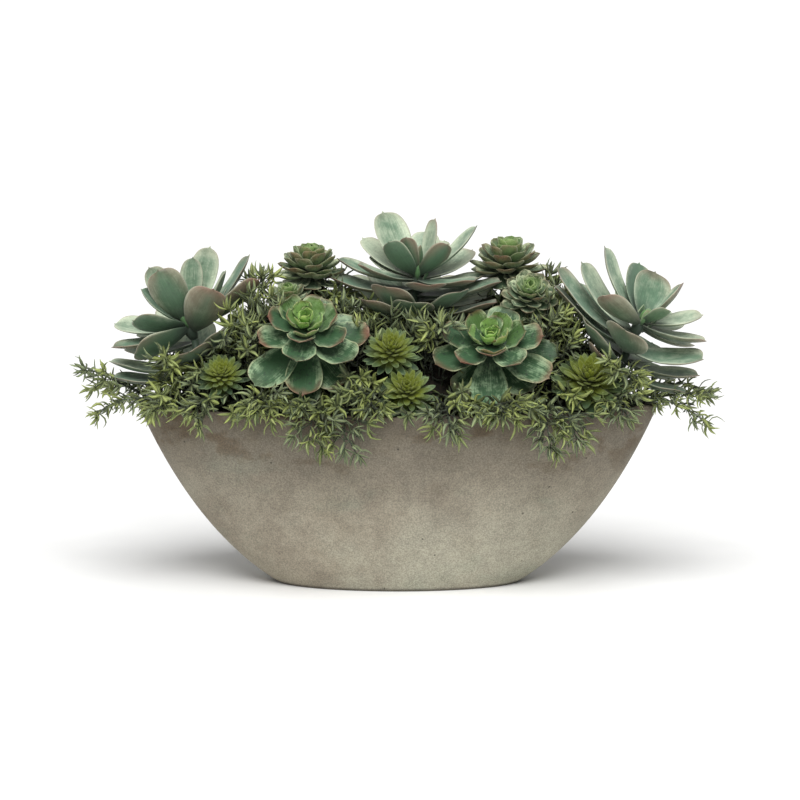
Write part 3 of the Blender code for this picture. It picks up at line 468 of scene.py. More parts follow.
def bend_clear(bed, owner, root, tip, axis, width, style, mates=()):
    """Lift, swing or shorten a leaf until it crosses no other plant, and if it can be none of its mates."""
    fallback = None
    for size in LEAF_SIZES:
        for lift, swing in LEAF_TURNS:
            line = (tip - root) * size
            line.rotate(Quaternion(line.cross(axis).normalized(), math.radians(lift)))
            line.rotate(Quaternion(axis, math.radians(swing)))
            wide = width * size
            if not bed.is_clear(owner, blade(root, root + line, axis, wide, style, CLEARANCE)):
                continue
            foot = root + line * FREE_FROM
            free_part = blade(foot, root + line, axis, wide, {**style, "rings": BROAD_RINGS})
            tree = BVHTree.FromPolygons(*free_part)
            if not any(tree.overlap(mate) for mate in mates):
                return root + line, wide, tree
            fallback = fallback or (root + line, wide, tree)
    return fallback


def seat_on_soil(place):
    """The point of the soil's surface at a place in the bowl."""
    return Vector((place[0], place[1], mound_height(*place)))


def stem_of(centre, axis, seat, style):
    """A straight stem up to a core: its seat, direction, radius, sides and what its ring points along."""
    neck = centre - axis * style["rise"]
    return seat, (neck - seat).normalized(), style["stem"], style["sides"], ALONG


def core_rings(centre, axis, stem, style, turned):
    """Rings of a stem's two ends and of the core on it, each turned by so many half sides from the last."""
    seat, climb, radius, sides, _ = stem
    rings = [
        ring_of(seat - climb * HOLE_DEPTH, climb, radius, sides),
        ring_of(centre - axis * style["rise"], climb, radius, sides),
    ]
    for step, (height, share) in enumerate(style["core_rings"]):
        middle = centre + axis * style["rise"] * height
        rings.append(ring_of(middle, axis, style["core"] * share, sides, step * turned))
    return rings


def bare_core(centre, axis, stem, style):
    """A stem and its core with no leaves on."""
    rings = core_rings(centre, axis, stem, {**style, "core_rings": BARE_CORE_RINGS}, 0)
    return loft(rings, centre + axis * style["rise"])


def leaf_root(centre, axis, stem, style, line, down=None):
    """Where a leaf with a given line to its tip grows: on the core, or down the stem if it lies open."""
    opening = axis.angle(line)
    if down is None:
        low, high = DROP_OPENINGS
        down = style["drop"] * clamp((opening - low) / (high - low))
    if down <= style["rise"]:
        return centre + axis * (style["rise"] * ROOT_RISE * math.cos(opening) - down)
    neck = centre - axis * style["rise"]
    return neck - stem[1] * (down - style["rise"])


def grow_rosette(bed, name, centre, axis, stem, style, tips):
    """Leaves with given tips round a core, each bent clear of the other plants: pieces and places."""
    pieces = [bare_core(centre, axis, stem, style)]
    leaves = []
    mates = []
    for x, y, z, width, *more in tips:
        line = Vector((x, y, z))
        root = leaf_root(centre, axis, stem, style, line, *more[1:])
        upper = axis.copy()
        upper.rotate(Quaternion(line.normalized(), math.radians(sum(more[:1]))))
        found = bend_clear(bed, name, root, centre + line, upper, width, style, mates)
        if found:
            tip, wide, free = found
            mates.append(free)
            pieces.append(blade(root, tip, upper, wide, style))
            leaves.append((root, tip, upper, wide))
    return pieces, leaves


def grow_head(bed, name, centre, axis, stem, style, length):
    """A head whose leaves stand in rows round its core, wide open below and upright at its heart."""
    rings = core_rings(centre, axis, stem, {**style, "core_rings": CORE_RINGS}, 1)
    skin = Skin(rings[0])
    for ring in rings[1:3]:
        skin.bare(ring)
    first, second = frame_of(axis)
    for row, (opening, share) in enumerate(style["rows"]):
        reach = length * share
        tilt = math.radians(opening)
        room = 2.0 * math.pi * reach * style["rings"][-1][0] * math.sin(tilt) / style["sides"]
        wide = min(reach * style["broad"], room * ROOM_SHARE)

        def leaf_at(side, root):
            turn = 2.0 * math.pi * (side + 1.0 + row / 2.0) / style["sides"]
            tip = centre + turned(axis, turned(first, second, turn), tilt) * reach
            found = bend_clear(bed, name, root, tip, axis, wide, style)
            return blade_rings(root, found[0], axis, found[1], style) if found else None

        skin.leafy(rings[3 + row], leaf_at)
    return [skin.close(centre + axis * style["rise"])], None


def sprig_curve(seat, tip, lean):
    """Where a sprig's arch starts, the crown that it heads for, and the stem's way out of the soil."""
    crown = seat.lerp(tip, 0.5)
    if tip.z < seat.z + SPRIG_ARCH:
        crown.z = max(seat.z, tip.z) + SPRIG_ARCH
    else:
        crown.z = seat.lerp(tip, CROWN_SHARE).z
    crown += lean
    climb = (crown - seat).normalized()
    return seat + climb * SPRIG_COLLAR, crown, climb


def on_arch(start, crown, tip, share):
    """A point of a sprig's arch and the direction there."""
    rest = 1.0 - share
    point = start * rest * rest + crown * 2.0 * rest * share + tip * share * share
    ahead = (crown - start) * rest + (tip - crown) * share
    return point, ahead.normalized()


def stem_places(start, crown, tip):
    """Points and directions at a sprig's stops along its stem, and the reach of its leafy end."""
    places = [on_arch(start, crown, tip, share) for share, _ in STEM_STOPS]
    end, ahead = places[-1]
    return places + [(end + ahead * END_REACH, ahead)]


def tube(places, radius):
    """A bare tube through places, to test a way with."""
    across = UP.cross(places[-1][0] - places[0][0]).normalized()
    return loft([ring_of(point, ahead, radius, SPRIG_SIDES, 0, across) for point, ahead in places])


def clear_sprig_way(bed, name, place, tip):
    """The first way from a seat to a tip that crosses no other plant."""
    radius = SPRIG_STEM + 2.0 * CLEARANCE
    for shift in SEAT_SHIFTS:
        seat = seat_on_soil((place[0] + shift[0], place[1] + shift[1]))
        for lean in LEANS:
            start, crown, climb = sprig_curve(seat, tip, Vector(lean))
            stem = (seat, climb, SPRIG_STEM, SPRIG_SIDES, UP.cross(tip - start).normalized())
            places = stem_places(start, crown, tip)
            low = tube([(start, climb), places[0]], radius)
            in_soil = all(bed.is_clear(name, piece, ("soil",)) for piece in (hole_of(stem), low))
            if in_soil and bed.is_clear(name, tube(places, radius)):
                return start, crown, stem
    return None


class Shoot:
    """A sprig's stem or twig, which grows from place to place, bare or with a row of leaves."""

    def __init__(self, bed, name, centre, ahead, across, radius, chance):
        self.bed = bed
        self.name = name
        self.across = across
        self.radius = radius
        self.chance = chance
        self.half_turns = 0
        self.leaves = []
        self.skin = Skin(self.ring(centre, ahead))

    def ring(self, centre, ahead, share=1.0):
        """The ring at a place, thinner by a share."""
        return ring_of(centre, ahead, self.radius * share, SPRIG_SIDES, self.half_turns, self.across)

    def bare_to(self, centre, ahead, share=1.0):
        """Grow on with no leaves."""
        self.skin.bare(self.ring(centre, ahead, share))

    def leafy_to(self, centre, ahead, opening, share=1.0):
        """Grow on by one row of leaves and return its end."""
        beyond = centre + ahead * LEAF_ROW
        self.half_turns += 1
        self.skin.leafy(self.ring(beyond, ahead, share), self.leaf_rule(centre, ahead, opening))
        return beyond

    def leaf_rule(self, centre, ahead, opening):
        """A rule for the leaves of one row."""

        def leaf_at(_, root):
            out = (root - centre) - ahead * (root - centre).dot(ahead)
            out.normalize()
            out.rotate(Quaternion(ahead, math.radians(self.chance.uniform(-STRAY_TURN, STRAY_TURN))))
            tilt = math.radians(opening + self.chance.uniform(-STRAY_OPEN, STRAY_OPEN))
            length = SPRIG_LEAF * self.chance.uniform(*LEAF_SPREAD)
            tip = root + turned(ahead, out, tilt) * length
            if not self.bed.is_clear(self.name, needle(root, tip, LEAF_ROW / 2.0 + CLEARANCE)):
                return None
            tree = BVHTree.FromPolygons(*needle(root.lerp(tip, FREE_FROM), tip, self.radius))
            if any(tree.overlap(leaf) for leaf in self.leaves):
                return None
            self.leaves.append(tree)
            return [], tip

        return leaf_at

    def end(self, centre, ahead):
        """Rows of leaves that close towards the tip, and one more leaf straight ahead."""
        for row, opening in enumerate(OPEN_AT_END, start=1):
            thin = (1.0 - STEM_TAPER) * (1.0 - END_TAPER * row / len(OPEN_AT_END))
            centre = self.leafy_to(centre, ahead, opening, thin)
        return self.skin.close(centre + ahead * END_LEAF)


def needle(root, tip, radius):
    """A pointed three-sided piece round a narrow leaf, to test its place with."""
    ahead = (tip - root).normalized()
    return loft([ring_of(root, ahead, radius, SPRIG_SIDES, 0, ahead.orthogonal())], tip + ahead * CLEARANCE)


def grow_sprig(bed, name, start, crown, tip, stem, chance):
    """A bunch's main stem with leaves in rows along it and a leafy end, and a leafy twig to its side.

    It gives the pieces and the twig's root and line, or None.
    """
    seat, climb, radius, _, across = stem
    shoot = Shoot(bed, name, seat - climb * HOLE_DEPTH, climb, across, radius, chance)
    shoot.bare_to(start, climb)
    for (share, kind), (centre, ahead) in zip(STEM_STOPS, stem_places(start, crown, tip)):
        thin = 1.0 - STEM_TAPER * share
        shoot.bare_to(centre, ahead, thin)
        if kind == "leafy":
            shoot.leafy_to(centre, ahead, OPEN_ALONG, thin)
    pieces = [shoot.end(centre, ahead)]
    root, ahead = on_arch(start, crown, tip, TWIG_AT)
    onward, aside, upward = TWIG_WAY
    line = (ahead * onward + across * chance.choice((-aside, aside)) + UP * upward).normalized()
    end = root + line * TWIG_LENGTH
    guard = tube([(root, line), (end + line * END_REACH, line)], SPRIG_TWIG + 2.0 * CLEARANCE)
    side_way = None
    if bed.is_clear(name, guard):
        side_way = (root, line)
        twig = Shoot(bed, name, root, line, line.orthogonal(), SPRIG_TWIG, chance)
        twig.bare_to(end, line)
        pieces.append(twig.end(end, line))
    return pieces, side_way


def bowl_rings(sides, fine):
    """Rings of the bowl from its inner floor over the rim to its base, plain or with round edges."""
    inner = [step / fine for step in range(fine, 0, -1)] if fine else (1.0, *INNER_STEPS)
    outer = [step / fine for step in range(fine + 1)] if fine else OUTER_STEPS
    levels = [bowl_section(max(step, INNER_STEPS[-1]), WALL) for step in reversed(inner)]
    corners = RIM_CORNERS if fine else RIM_CORNERS[-1:]
    length, depth, _ = bowl_section(1.0, WALL)
    for sign, half_length, half_depth, order in (
        (1.0, length, depth, corners), (-1.0, RIM_HALF_LENGTH, RIM_HALF_DEPTH, corners[::-1]),
    ):
        for corner in order:
            across = sign * EDGE * (1.0 - math.cos(math.radians(corner)))
            rise = EDGE * math.sin(math.radians(corner))
            levels.append((half_length + across, half_depth + across, SIDE_HEIGHT + rise))
    levels += [bowl_section(step) for step in reversed(outer)]
    levels.append((BASE_HALF_LENGTH - EDGE, BASE_HALF_DEPTH - EDGE, 0.0))
    return [oval(sides, *level) for level in levels]


def soil_rings(sides, mound_steps):
    """Rings of the soil from its floor up the bowl's wall and over the mound."""
    inset = WALL + CLEARANCE
    levels = []
    for step in reversed(INNER_STEPS):
        length, depth, height = bowl_section(step, inset)
        lift = CLEARANCE if step == INNER_STEPS[-1] else 0.0
        levels.append((length, depth, height + lift))
    length, depth, _ = bowl_section(INNER_STEPS[0], inset)
    levels += [(length * share, depth * share, mound_height(length * share, 0.0)) for share in mound_steps]
    return [oval(sides, *level) for level in levels]


def grow_arrangement():
    """Where every leaf and sprig lies: the bed, the rosettes and heads, and the sprigs."""
    bed = Bed()
    bed.add("bowl", [loft(bowl_rings(BOWL_SIDES, 0))])
    bed.add("soil", [loft(soil_rings(BOWL_SIDES, MOUND_STEPS), seat_on_soil((0.0, 0.0)))])
    plants = []
    for name, centre, axis, place, style, shape, kind in ROSETTES + HEADS:
        centre, axis = Vector(centre), Vector(axis).normalized()
        stem = stem_of(centre, axis, seat_on_soil(place), style)
        bed.add(name, [bare_core(centre, axis, stem, style), hole_of(stem)])
        plants.append((name, centre, axis, stem, style, shape, kind))
    grown = []
    for name, centre, axis, stem, style, shape, kind in plants:
        grow = grow_rosette if isinstance(shape, tuple) else grow_head
        pieces, leaves = grow(bed, name, centre, axis, stem, style, shape)
        bed.add(name, pieces)
        grown.append((name, centre, axis, stem, style, shape, kind, leaves))
    chance = random.Random(SEED)
    sprigs = []
    for order, (place, tip) in enumerate(SPRIGS, start=1):
        name = f"sprig_{order:02d}"
        tip = Vector(tip)
        start, crown, stem = clear_sprig_way(bed, name, place, tip)
        pieces, side_way = grow_sprig(bed, name, start, crown, tip, stem, chance)
        bed.add(name, pieces + [hole_of(stem)])
        sprigs.append((name, start, crown, tip, stem, side_way))
    return bed, grown, sprigs


# Fine leaves: stations along and points around, how the outline swells and ends, its share at the
# root, half thickness at edge and middle, the keel below, height and number of the edge's waves, the
# small point, and the most that a leaf twists in degrees and bows sideways as a share of its length
LEAVES = {
    "large_leaf": {
        "stations": 26, "around": 20, "swell": 1.0, "end": 0.4, "foot": 0.06, "edge": 1.15,
        "middle": 1.7, "keel": 0.9, "wave": 0.5, "waves": 2.2, "point": 0.1, "twist": 5.0, "bow": 0.02,
    },
    "medium_leaf": {
        "stations": 24, "around": 20, "swell": 1.15, "end": 0.4, "foot": 0.06, "edge": 0.9,
        "middle": 1.5, "keel": 0.7, "wave": 1.3, "waves": 3.4, "point": 0.1, "twist": 5.0, "bow": 0.02,
    },
    "dense_leaf": {
        "stations": 14, "around": 14, "swell": 0.95, "end": 0.42, "foot": 0.14, "edge": 0.7,
        "middle": 1.3, "keel": 0.5, "wave": 0.4, "waves": 2.0, "point": 0.09, "twist": 6.0, "bow": 0.02,
    },
    "lime_leaf": {
        "stations": 11, "around": 10, "swell": 0.7, "end": 0.5, "foot": 0.2, "edge": 0.55,
        "middle": 0.9, "keel": 0.4, "wave": 0.1, "waves": 2.0, "point": 0.07, "twist": 6.0, "bow": 0.03,
    },
    "sprig_leaf": {
        "stations": 6, "around": 4, "swell": 0.7, "end": 0.8, "foot": 0.16, "edge": 0.35,
        "middle": 0.5, "keel": 0.1, "wave": 0.0, "waves": 1.0, "point": 0.04, "twist": 18.0, "bow": 0.14,
    },
}
# Where the small point starts, how much closer the stations stand at the tip, how full a section is, how
# much more the leaves at the heart are cupped, how far a tip bends up as a share of the length, how far
# the edge's wave is shifted from edge to edge, how fast the leaf thins at its tip, and its last rise
TIP_FROM = 0.965
STATION_POWER = 1.7
SECTION_POWER = 0.72
CUP_GAIN = 0.9
TIP_BEND = (-0.012, 0.02)
WAVE_SHIFT = 2.0
TIP_THINNING = 4.0
TIP_RISE = (0.0, 0.5)


class Skins:
    """The closed skins of many leaves and stems, gathered in one mesh with values at each point."""

    def __init__(self):
        self.points = []
        self.quads = []
        self.fans = []
        self.leaf = []
        self.mood = []
        self.count = 0

    def add(self, grid, start, end, leaf, mood):
        """A skin over a grid of rings, closed by fans to a start and an end point."""
        rows, around = grid.shape[:2]
        number = np.arange(rows * around).reshape(rows, around) + self.count
        after = np.roll(number, -1, axis=1)
        quads = np.stack([number[:-1], after[:-1], after[1:], number[1:]], axis=-1)
        first = self.count + rows * around
        low = np.stack([after[0], number[0], np.full(around, first)], axis=-1)
        high = np.stack([number[-1], after[-1], np.full(around, first + 1)], axis=-1)
        self.points += [grid.reshape(-1, 3), start[None], end[None]]
        self.quads.append(quads.reshape(-1, 4))
        self.fans += [low, high]
        ends = np.array([leaf[0].mean(axis=0), leaf[-1].mean(axis=0)])
        self.leaf += [leaf.reshape(-1, 3), ends]
        self.mood.append(np.tile(np.array(mood, dtype=float), (rows * around + 2, 1)))
        self.count += rows * around + 2

    def piece(self, name, material):
        """The smooth mesh object of all skins."""
        mesh = bpy.data.meshes.new(name)
        faces = np.concatenate(self.quads).tolist() + np.concatenate(self.fans).tolist()
        mesh.from_pydata(np.concatenate(self.points) * MM, [], faces)
        for label, values in (("leaf", self.leaf), ("mood", self.mood)):
            layer = mesh.attributes.new(label, "FLOAT_VECTOR", "POINT")
            layer.data.foreach_set("vector", np.concatenate(values).astype(np.float32).ravel())
        mesh.shade_smooth()
        mesh.materials.append(material)
        made = bpy.data.objects.new(name, mesh)
        bpy.context.scene.collection.objects.link(made)
        return made


def outline(along, form):
    """Width of a leaf at places along it, as a share of its greatest width."""
    widest = (form["swell"] - form["end"] * form["foot"]) / (form["swell"] + form["end"])
    place = np.clip(along / TIP_FROM, 0.0, 1.0)
    body = ((place + form["foot"]) / (widest + form["foot"])) ** form["swell"]
    body = body * ((1.0 - place) / (1.0 - widest)) ** form["end"]
    return np.maximum(body, form["point"] * np.clip((1.0 - along) / (1.0 - TIP_FROM), 0.0, 1.0))


def full_wave(wave):
    """A wave from -1 to 1 that stays nearer to its ends, for a fuller section."""
    return (np.sign(wave) * np.abs(wave) ** SECTION_POWER)[None]


def fine_leaf(skins, root, tip, upper, width, style, form, mood, chance):
    """Add one fine leaf that follows the solid's blade."""
    line = tip - root
    ahead = line.normalized()
    above = (upper - ahead * upper.dot(ahead)).normalized()
    side = above.cross(ahead)
    root, line, ahead, above, side = (np.array(vector) for vector in (root, line, ahead, above, side))
    length = math.sqrt(line @ line)
    steps = np.linspace(0.0, 1.0, form["stations"])[:-1]
    along = (1.0 - (1.0 - steps) ** STATION_POWER)[:, None]
    turns = 2.0 * math.pi * np.arange(form["around"]) / form["around"]
    across, face = full_wave(np.cos(turns)), full_wave(np.sin(turns))
    half = width / 2.0 * outline(along, form)
    wave = 2.0 * math.pi * (form["waves"] * along + chance.random()) + WAVE_SHIFT * across
    wave = form["wave"] * np.sin(wave) * np.abs(across) ** 3 * along
    bend = chance.uniform(*TIP_BEND) * length * along**4
    thin = np.minimum(1.0, TIP_THINNING * (1.0 - along)) ** 0.5
    thick = form["edge"] + (form["middle"] - form["edge"]) * (1.0 - np.abs(across))
    cup = style["cup"] * (1.0 + CUP_GAIN * mood[2])
    lift = cup * 2.0 * half * across**2 + face * thick * thin
    lift = lift - form["keel"] * (1.0 - np.abs(across)) ** 2 * (face < 0.0) * thin
    lift = lift - style["sag"] * length * np.sin(math.pi * along) + wave + bend
    twist = math.radians(chance.uniform(-1.0, 1.0) * form["twist"]) * along
    out = half * across + chance.uniform(-1.0, 1.0) * form["bow"] * length * np.sin(math.pi * along)
    grid = root + line * along[..., None]
    grid = grid + side * (out * np.cos(twist) - lift * np.sin(twist))[..., None]
    grid = grid + above * (lift * np.cos(twist) + out * np.sin(twist))[..., None]
    shape = grid.shape[:2]
    leaf = np.stack([np.broadcast_to(value, shape) for value in (along, across, face)], axis=-1)
    end = root + line + above * (chance.uniform(*TIP_RISE) + bend[-1, 0])
    skins.add(grid, root, end, leaf, mood)


def fine_tube(skins, places, radii, around, mood, along=1.0):
    """Add a round stem through places with a radius at each."""
    rings = []
    across = (places[-1] - places[0]).orthogonal().normalized()
    for index, (place, radius) in enumerate(zip(places, radii)):
        ahead = (places[min(index + 1, len(places) - 1)] - places[max(index - 1, 0)]).normalized()
        rings.append(ring_of(place, ahead, radius, around, 0, across))
    grid = np.array(rings)
    leaf = np.zeros(grid.shape)
    # A low end of the share along darkens the tube like the leaves' roots: painted shade
    leaf[..., 0] = np.linspace(0.0, along, len(places))[:, None]
    leaf[..., 2] = -1.0
    skins.add(grid, np.array(places[0]), np.array(places[-1]), leaf, mood)


# The core of a fine plant: its sides, its values for the material, a low share along that keeps the
# stem and core nearly black as painted shade among the leaves' roots, and the height and radius of
# each of its rings as shares of its rise and radius
CORE_SIDES = 12
CORE_MOOD = (0.3, 0.3, 0.2)
CORE_SHADE_ALONG = 0.15
ROUND_CORE = ((-0.95, 0.4), (-0.6, 0.6), (-0.2, 0.7), (0.2, 0.6), (0.5, 0.4), (0.75, 0.2))


def fine_core(skins, centre, axis, stem, style):
    """Add a plant's stem and the rounded core that its leaves stand on, both nearly black as painted shade.
    """
    seat, climb = stem[:2]
    ends = [seat - climb * HOLE_DEPTH, centre - axis * style["rise"]]
    rings = [centre + axis * style["rise"] * height for height, _ in ROUND_CORE]
    radii = [style["core"] * share for _, share in ROUND_CORE]
    fine_tube(skins, ends, [style["stem"]] * 2, CORE_SIDES, CORE_MOOD, CORE_SHADE_ALONG)
    fine_tube(skins, rings, radii, CORE_SIDES, CORE_MOOD, CORE_SHADE_ALONG)


# Fine heads: number of leaves, opening from the axis in degrees and share of the length, from the
# outermost leaf to the heart, and how a leaf's width goes with its length
SPIRALS = {
    "dense_leaf": {"count": 52, "opening": (110.0, 4.0), "reach": (1.0, 0.66), "broad": (0.54, 0.56)},
    "lime_leaf": {"count": 76, "opening": (104.0, 4.0), "reach": (1.0, 0.5), "broad": (0.26, 0.3)},
    "medium_leaf": {"count": 26, "opening": (100.0, 8.0), "reach": (1.0, 0.34), "broad": (0.56, 0.62)},
}
# Buds at the hearts of the rosettes: the length of their leaves and the same values
BUDS = {
    "large_leaf": (
        26.0, {"count": 6, "opening": (24.0, 4.0), "reach": (1.0, 0.7), "broad": (0.36, 0.4)}),
    "medium_leaf": (
        42.0, {"count": 12, "opening": (60.0, 4.0), "reach": (1.0, 0.45), "broad": (0.8, 0.62)}),
}
# All heads: turn from leaf to leaf, how the opening closes, stray, and where on the core the roots are
GOLDEN_TURN = math.radians(137.508)
OPENING_POWER = 1.15
OPENING_STRAY = 4.0
REACH_STRAY = (0.94, 1.06)
ROOTS_FROM = 0.35
ROOTS_SPAN = 0.9
ROOTS_OUT = 0.5


def between(ends, share):
    """A value between two ends."""
    return ends[0] + (ends[1] - ends[0]) * share


def spiral_leaves(bed, name, centre, axis, style, spiral, length, chance):
    """Leaves of a head in a golden spiral round its core, bent clear of the other plants."""
    first, second = frame_of(axis)
    leaves = []
    for number in range(spiral["count"]):
        inner = number / (spiral["count"] - 1.0)
        opening = between(spiral["opening"], inner**OPENING_POWER)
        tilt = math.radians(opening + chance.uniform(-OPENING_STRAY, OPENING_STRAY))
        reach = length * between(spiral["reach"], inner)
        reach *= chance.uniform(*REACH_STRAY)
        out = turned(first, second, number * GOLDEN_TURN)
        root = centre + axis * style["rise"] * (inner - ROOTS_FROM) * ROOTS_SPAN
        root += out * style["core"] * ROOTS_OUT * (1.0 - inner)
        tip = centre + turned(axis, out, tilt) * reach
        found = bend_clear(bed, name, root, tip, axis, reach * between(spiral["broad"], inner), style)
        if found:
            leaves.append((root, found[0], axis, found[1], inner))
    return leaves


# Narrow leaves of shoots: how they are cupped, sag and are wide for their length, the room that each
# needs from a share of its length on, and the shares of the shoot's hue and of its own
NARROW_CUP = 0.14
NARROW_SAG = (-0.1, 0.36)
NARROW_WIDTH = (0.165, 0.25)
NEEDLE_ROOM = 2.0
NEEDLE_FROM = 0.15
HUE_SHARES = (0.7, 0.3)
OTHER_RANGE = 0.999

# Kinds of shoots: radius of the stem, from what share on it is leafy, how much shorter its leaves are than
# the longest, and its tone at its foot and its end; a low tone is dark, partly as painted shade deep down
SHOOTS = {
    "stem": {"radius": 1.2, "leafy_from": 0.42, "less": 0.0, "tone": (0.0, 1.0)},
    "twig": {"radius": 0.8, "leafy_from": 0.35, "less": 1.5, "tone": (0.3, 1.0)},
    "side_twig": {"radius": 0.9, "leafy_from": 0.4, "less": 2.0, "tone": (0.3, 1.0)},
    "carpet": {"radius": 0.9, "leafy_from": 0.25, "less": 0.0, "tone": (0.0, 1.0)},
}
# All shoots: sides and taper of the stem, the step from leaf to leaf and its stray turn, the opening of
# the leaves, how far it closes to the end and strays, how long the leaves are, and the tuft's openings
SHOOT_SIDES = 5
SHOOT_TAPER = 0.55
STEM_TONE = 0.5
NARROW_GAP = 4.3
START_TURNS = (0.0, 6.3)
TURN_STRAY = 0.3
SHOOT_OPENING = 66.0
SHOOT_CLOSING = 20.0
SHOOT_STRAY = 16.0
SHOOT_LENGTHS = (0.75, 0.35)
LENGTH_STRAY = (0.85, 1.15)
TUFT_OPENINGS = (62.0, 56.0, 50.0, 42.0, 30.0, 14.0)
TUFT_LENGTHS = (0.8, 1.0)


def narrow_leaf(bed, skins, name, root, out, ahead, opening, length, mood, chance):
    """Add one narrow leaf beside a shoot where it crosses no plant."""
    tip = root + turned(ahead, out, math.radians(opening)) * length
    if not bed.is_clear(name, needle(root.lerp(tip, NEEDLE_FROM), tip, NEEDLE_ROOM)):
        return
    hue, tone = mood
    mood = (HUE_SHARES[0] * hue + HUE_SHARES[1] * chance.random(), tone, chance.random() * OTHER_RANGE)
    style = {"cup": NARROW_CUP, "sag": chance.uniform(*NARROW_SAG)}
    width = length * chance.uniform(*NARROW_WIDTH)
    fine_leaf(skins, root, tip, ahead, width, style, LEAVES["sprig_leaf"], mood, chance)


def fine_shoot(bed, skins, name, places, kind, length, chance):
    """A thin stem through places with narrow leaves in a spiral and a tuft at its end."""
    shoot, last = SHOOTS[kind], len(places) - 1
    tone, length = shoot["tone"], length - shoot["less"]
    radii = [shoot["radius"] * (1.0 - SHOOT_TAPER * index / last) for index in range(last + 1)]
    hue = chance.random()
    fine_tube(skins, places, radii, SHOOT_SIDES, (chance.random(), tone[0] * STEM_TONE, 0.0))
    spans = [(high - low).length for low, high in zip(places, places[1:])]
    total = sum(spans)
    went, turn = shoot["leafy_from"] * total, chance.uniform(*START_TURNS)
    while went < total:
        rest, index = went, 0
        while rest > spans[index] and index < len(spans) - 1:
            rest -= spans[index]
            index += 1
        ahead = (places[index + 1] - places[index]).normalized()
        foot = places[index] + ahead * rest
        share = went / total
        first, second = frame_of(ahead, ahead.orthogonal().normalized())
        opening = SHOOT_OPENING - SHOOT_CLOSING * share + chance.uniform(-SHOOT_STRAY, SHOOT_STRAY)
        size = length * (SHOOT_LENGTHS[0] + SHOOT_LENGTHS[1] * share) * chance.uniform(*LENGTH_STRAY)
        mood = (hue, between(tone, share))
        narrow_leaf(bed, skins, name, foot, turned(first, second, turn), ahead, opening, size, mood, chance)
        turn += GOLDEN_TURN + chance.uniform(-TURN_STRAY, TURN_STRAY)
        went += NARROW_GAP
    for opening in TUFT_OPENINGS:
        out = turned(first, second, turn)
        size = length * chance.uniform(*TUFT_LENGTHS)
        narrow_leaf(bed, skins, name, places[-1], out, ahead, opening, size, (hue, tone[1]), chance)
        turn += GOLDEN_TURN


# Fine bunches: steps of the arch and length of leaf, shorter at the ends of the bowl, then where the
# twigs grow, how far they reach, droop, go aside and climb, and the room that they need
ARCH_STEPS = 9
BUNCH_LEAF = 20.5
END_BUNCH_LEAF = 16.5
END_BUNCH_FROM = 300.0
TWIG_SHARES = (0.36, 0.46, 0.56, 0.66, 0.76, 0.86)
TWIG_REACH = (12.0, 22.0)
TWIG_DROOP = 0.25
TWIG_ASIDE = (0.5, 0.9)
TWIG_CLIMB = (-0.25, 0.3)
TWIG_ROOM = 1.2
TWIG_FREE_FROM = 0.2
SIDE_TWIG_END = 9.0


def fine_sprig(bed, name, start, crown, tip, stem, side_way, chance):
    """A bunch: its arched main stem, with leafy twigs to both sides."""
    skins = Skins()
    seat, climb, _, _, across = stem
    leaf = END_BUNCH_LEAF if abs(tip.x) > END_BUNCH_FROM else BUNCH_LEAF
    arch = [on_arch(start, crown, tip, step / ARCH_STEPS)[0] for step in range(ARCH_STEPS + 1)]
    fine_shoot(bed, skins, name, [seat - climb * HOLE_DEPTH, *arch], "stem", leaf, chance)
    for order, share in enumerate(TWIG_SHARES):
        root, ahead = on_arch(start, crown, tip, share)
        sign = 1.0 if order % 2 else -1.0
        way = ahead * chance.uniform(*TWIG_ASIDE) + across * sign * chance.uniform(*TWIG_ASIDE)
        way = (way + UP * chance.uniform(*TWIG_CLIMB)).normalized()
        reach = chance.uniform(*TWIG_REACH)
        bow = [root + way * reach * step - UP * TWIG_DROOP * reach * step**2 for step in (0.0, 0.5, 1.0)]
        foot = bow[0].lerp(bow[1], TWIG_FREE_FROM)
        if bed.is_clear(name, tube([(foot, way), (bow[2], way)], TWIG_ROOM)):
            fine_shoot(bed, skins, name, bow, "twig", leaf, chance)
    if side_way:
        root, way = side_way
        places = [root, root + way * TWIG_LENGTH, root + way * (TWIG_LENGTH + SIDE_TWIG_END)]
        fine_shoot(bed, skins, name, places, "side_twig", leaf, chance)
    return skins


# The carpet of small shoots: their spacing and stray, how far out they stand as a share of the soil, and
# the height that they reach at places along the bowl, at its front edge, and how much more at its back
CARPET_STEP = (11.0, 10.0)
CARPET_STRAY = 4.0
CARPET_ROWS = 9
CARPET_COLUMNS = 24
CARPET_EDGE = 0.95
CARPET_TOPS = (
    (-262, 226), (-230, 256), (-196, 312), (-150, 306), (-125, 302), (-100, 276), (-66, 304), (-45, 290),
    (35, 284), (70, 280), (107, 308), (150, 300), (185, 292), (215, 270), (262, 222),
)
CARPET_FRONT_TOPS = (
    (-262, 225), (-225, 225), (-205, 206), (-160, 204), (-125, 208), (-60, 203), (-42, 236), (-28, 230),
    (-15, 200), (30, 200), (44, 218), (62, 218), (80, 202), (150, 204), (168, 232), (182, 205),
    (225, 206), (245, 226),
)
CARPET_FRONT_FROM = -55.0
CARPET_BACK = 26.0
CARPET_BACK_FROM = 35.0
TOP_STRAY = 14.0
FRONT_TOP_STRAY = (-8.0, 6.0)
LEAST_RISE = 14.0

# How much less carpet shoots rise near the rim, at the front and the back, how far they lean out and
# stray, how far they droop, and where and how high they arch. Only the middle ones stand straight
STRAIGHT_TO = 0.05
RIM_FROM = 0.62
FRONT_FALL = 0.8
BACK_FALL = 0.5
LEAN_OUT = 10.0
RIM_LEAN = (14.0, 30.0)
END_STRAY = (8.0, 6.0)
FRONT_DROOP = (-20.0, 6.0)
BACK_DROOP = (-10.0, 16.0)
CARPET_CROWN = 0.45
CROWN_RISE = 8.0
ARCHED_FROM = 0.2

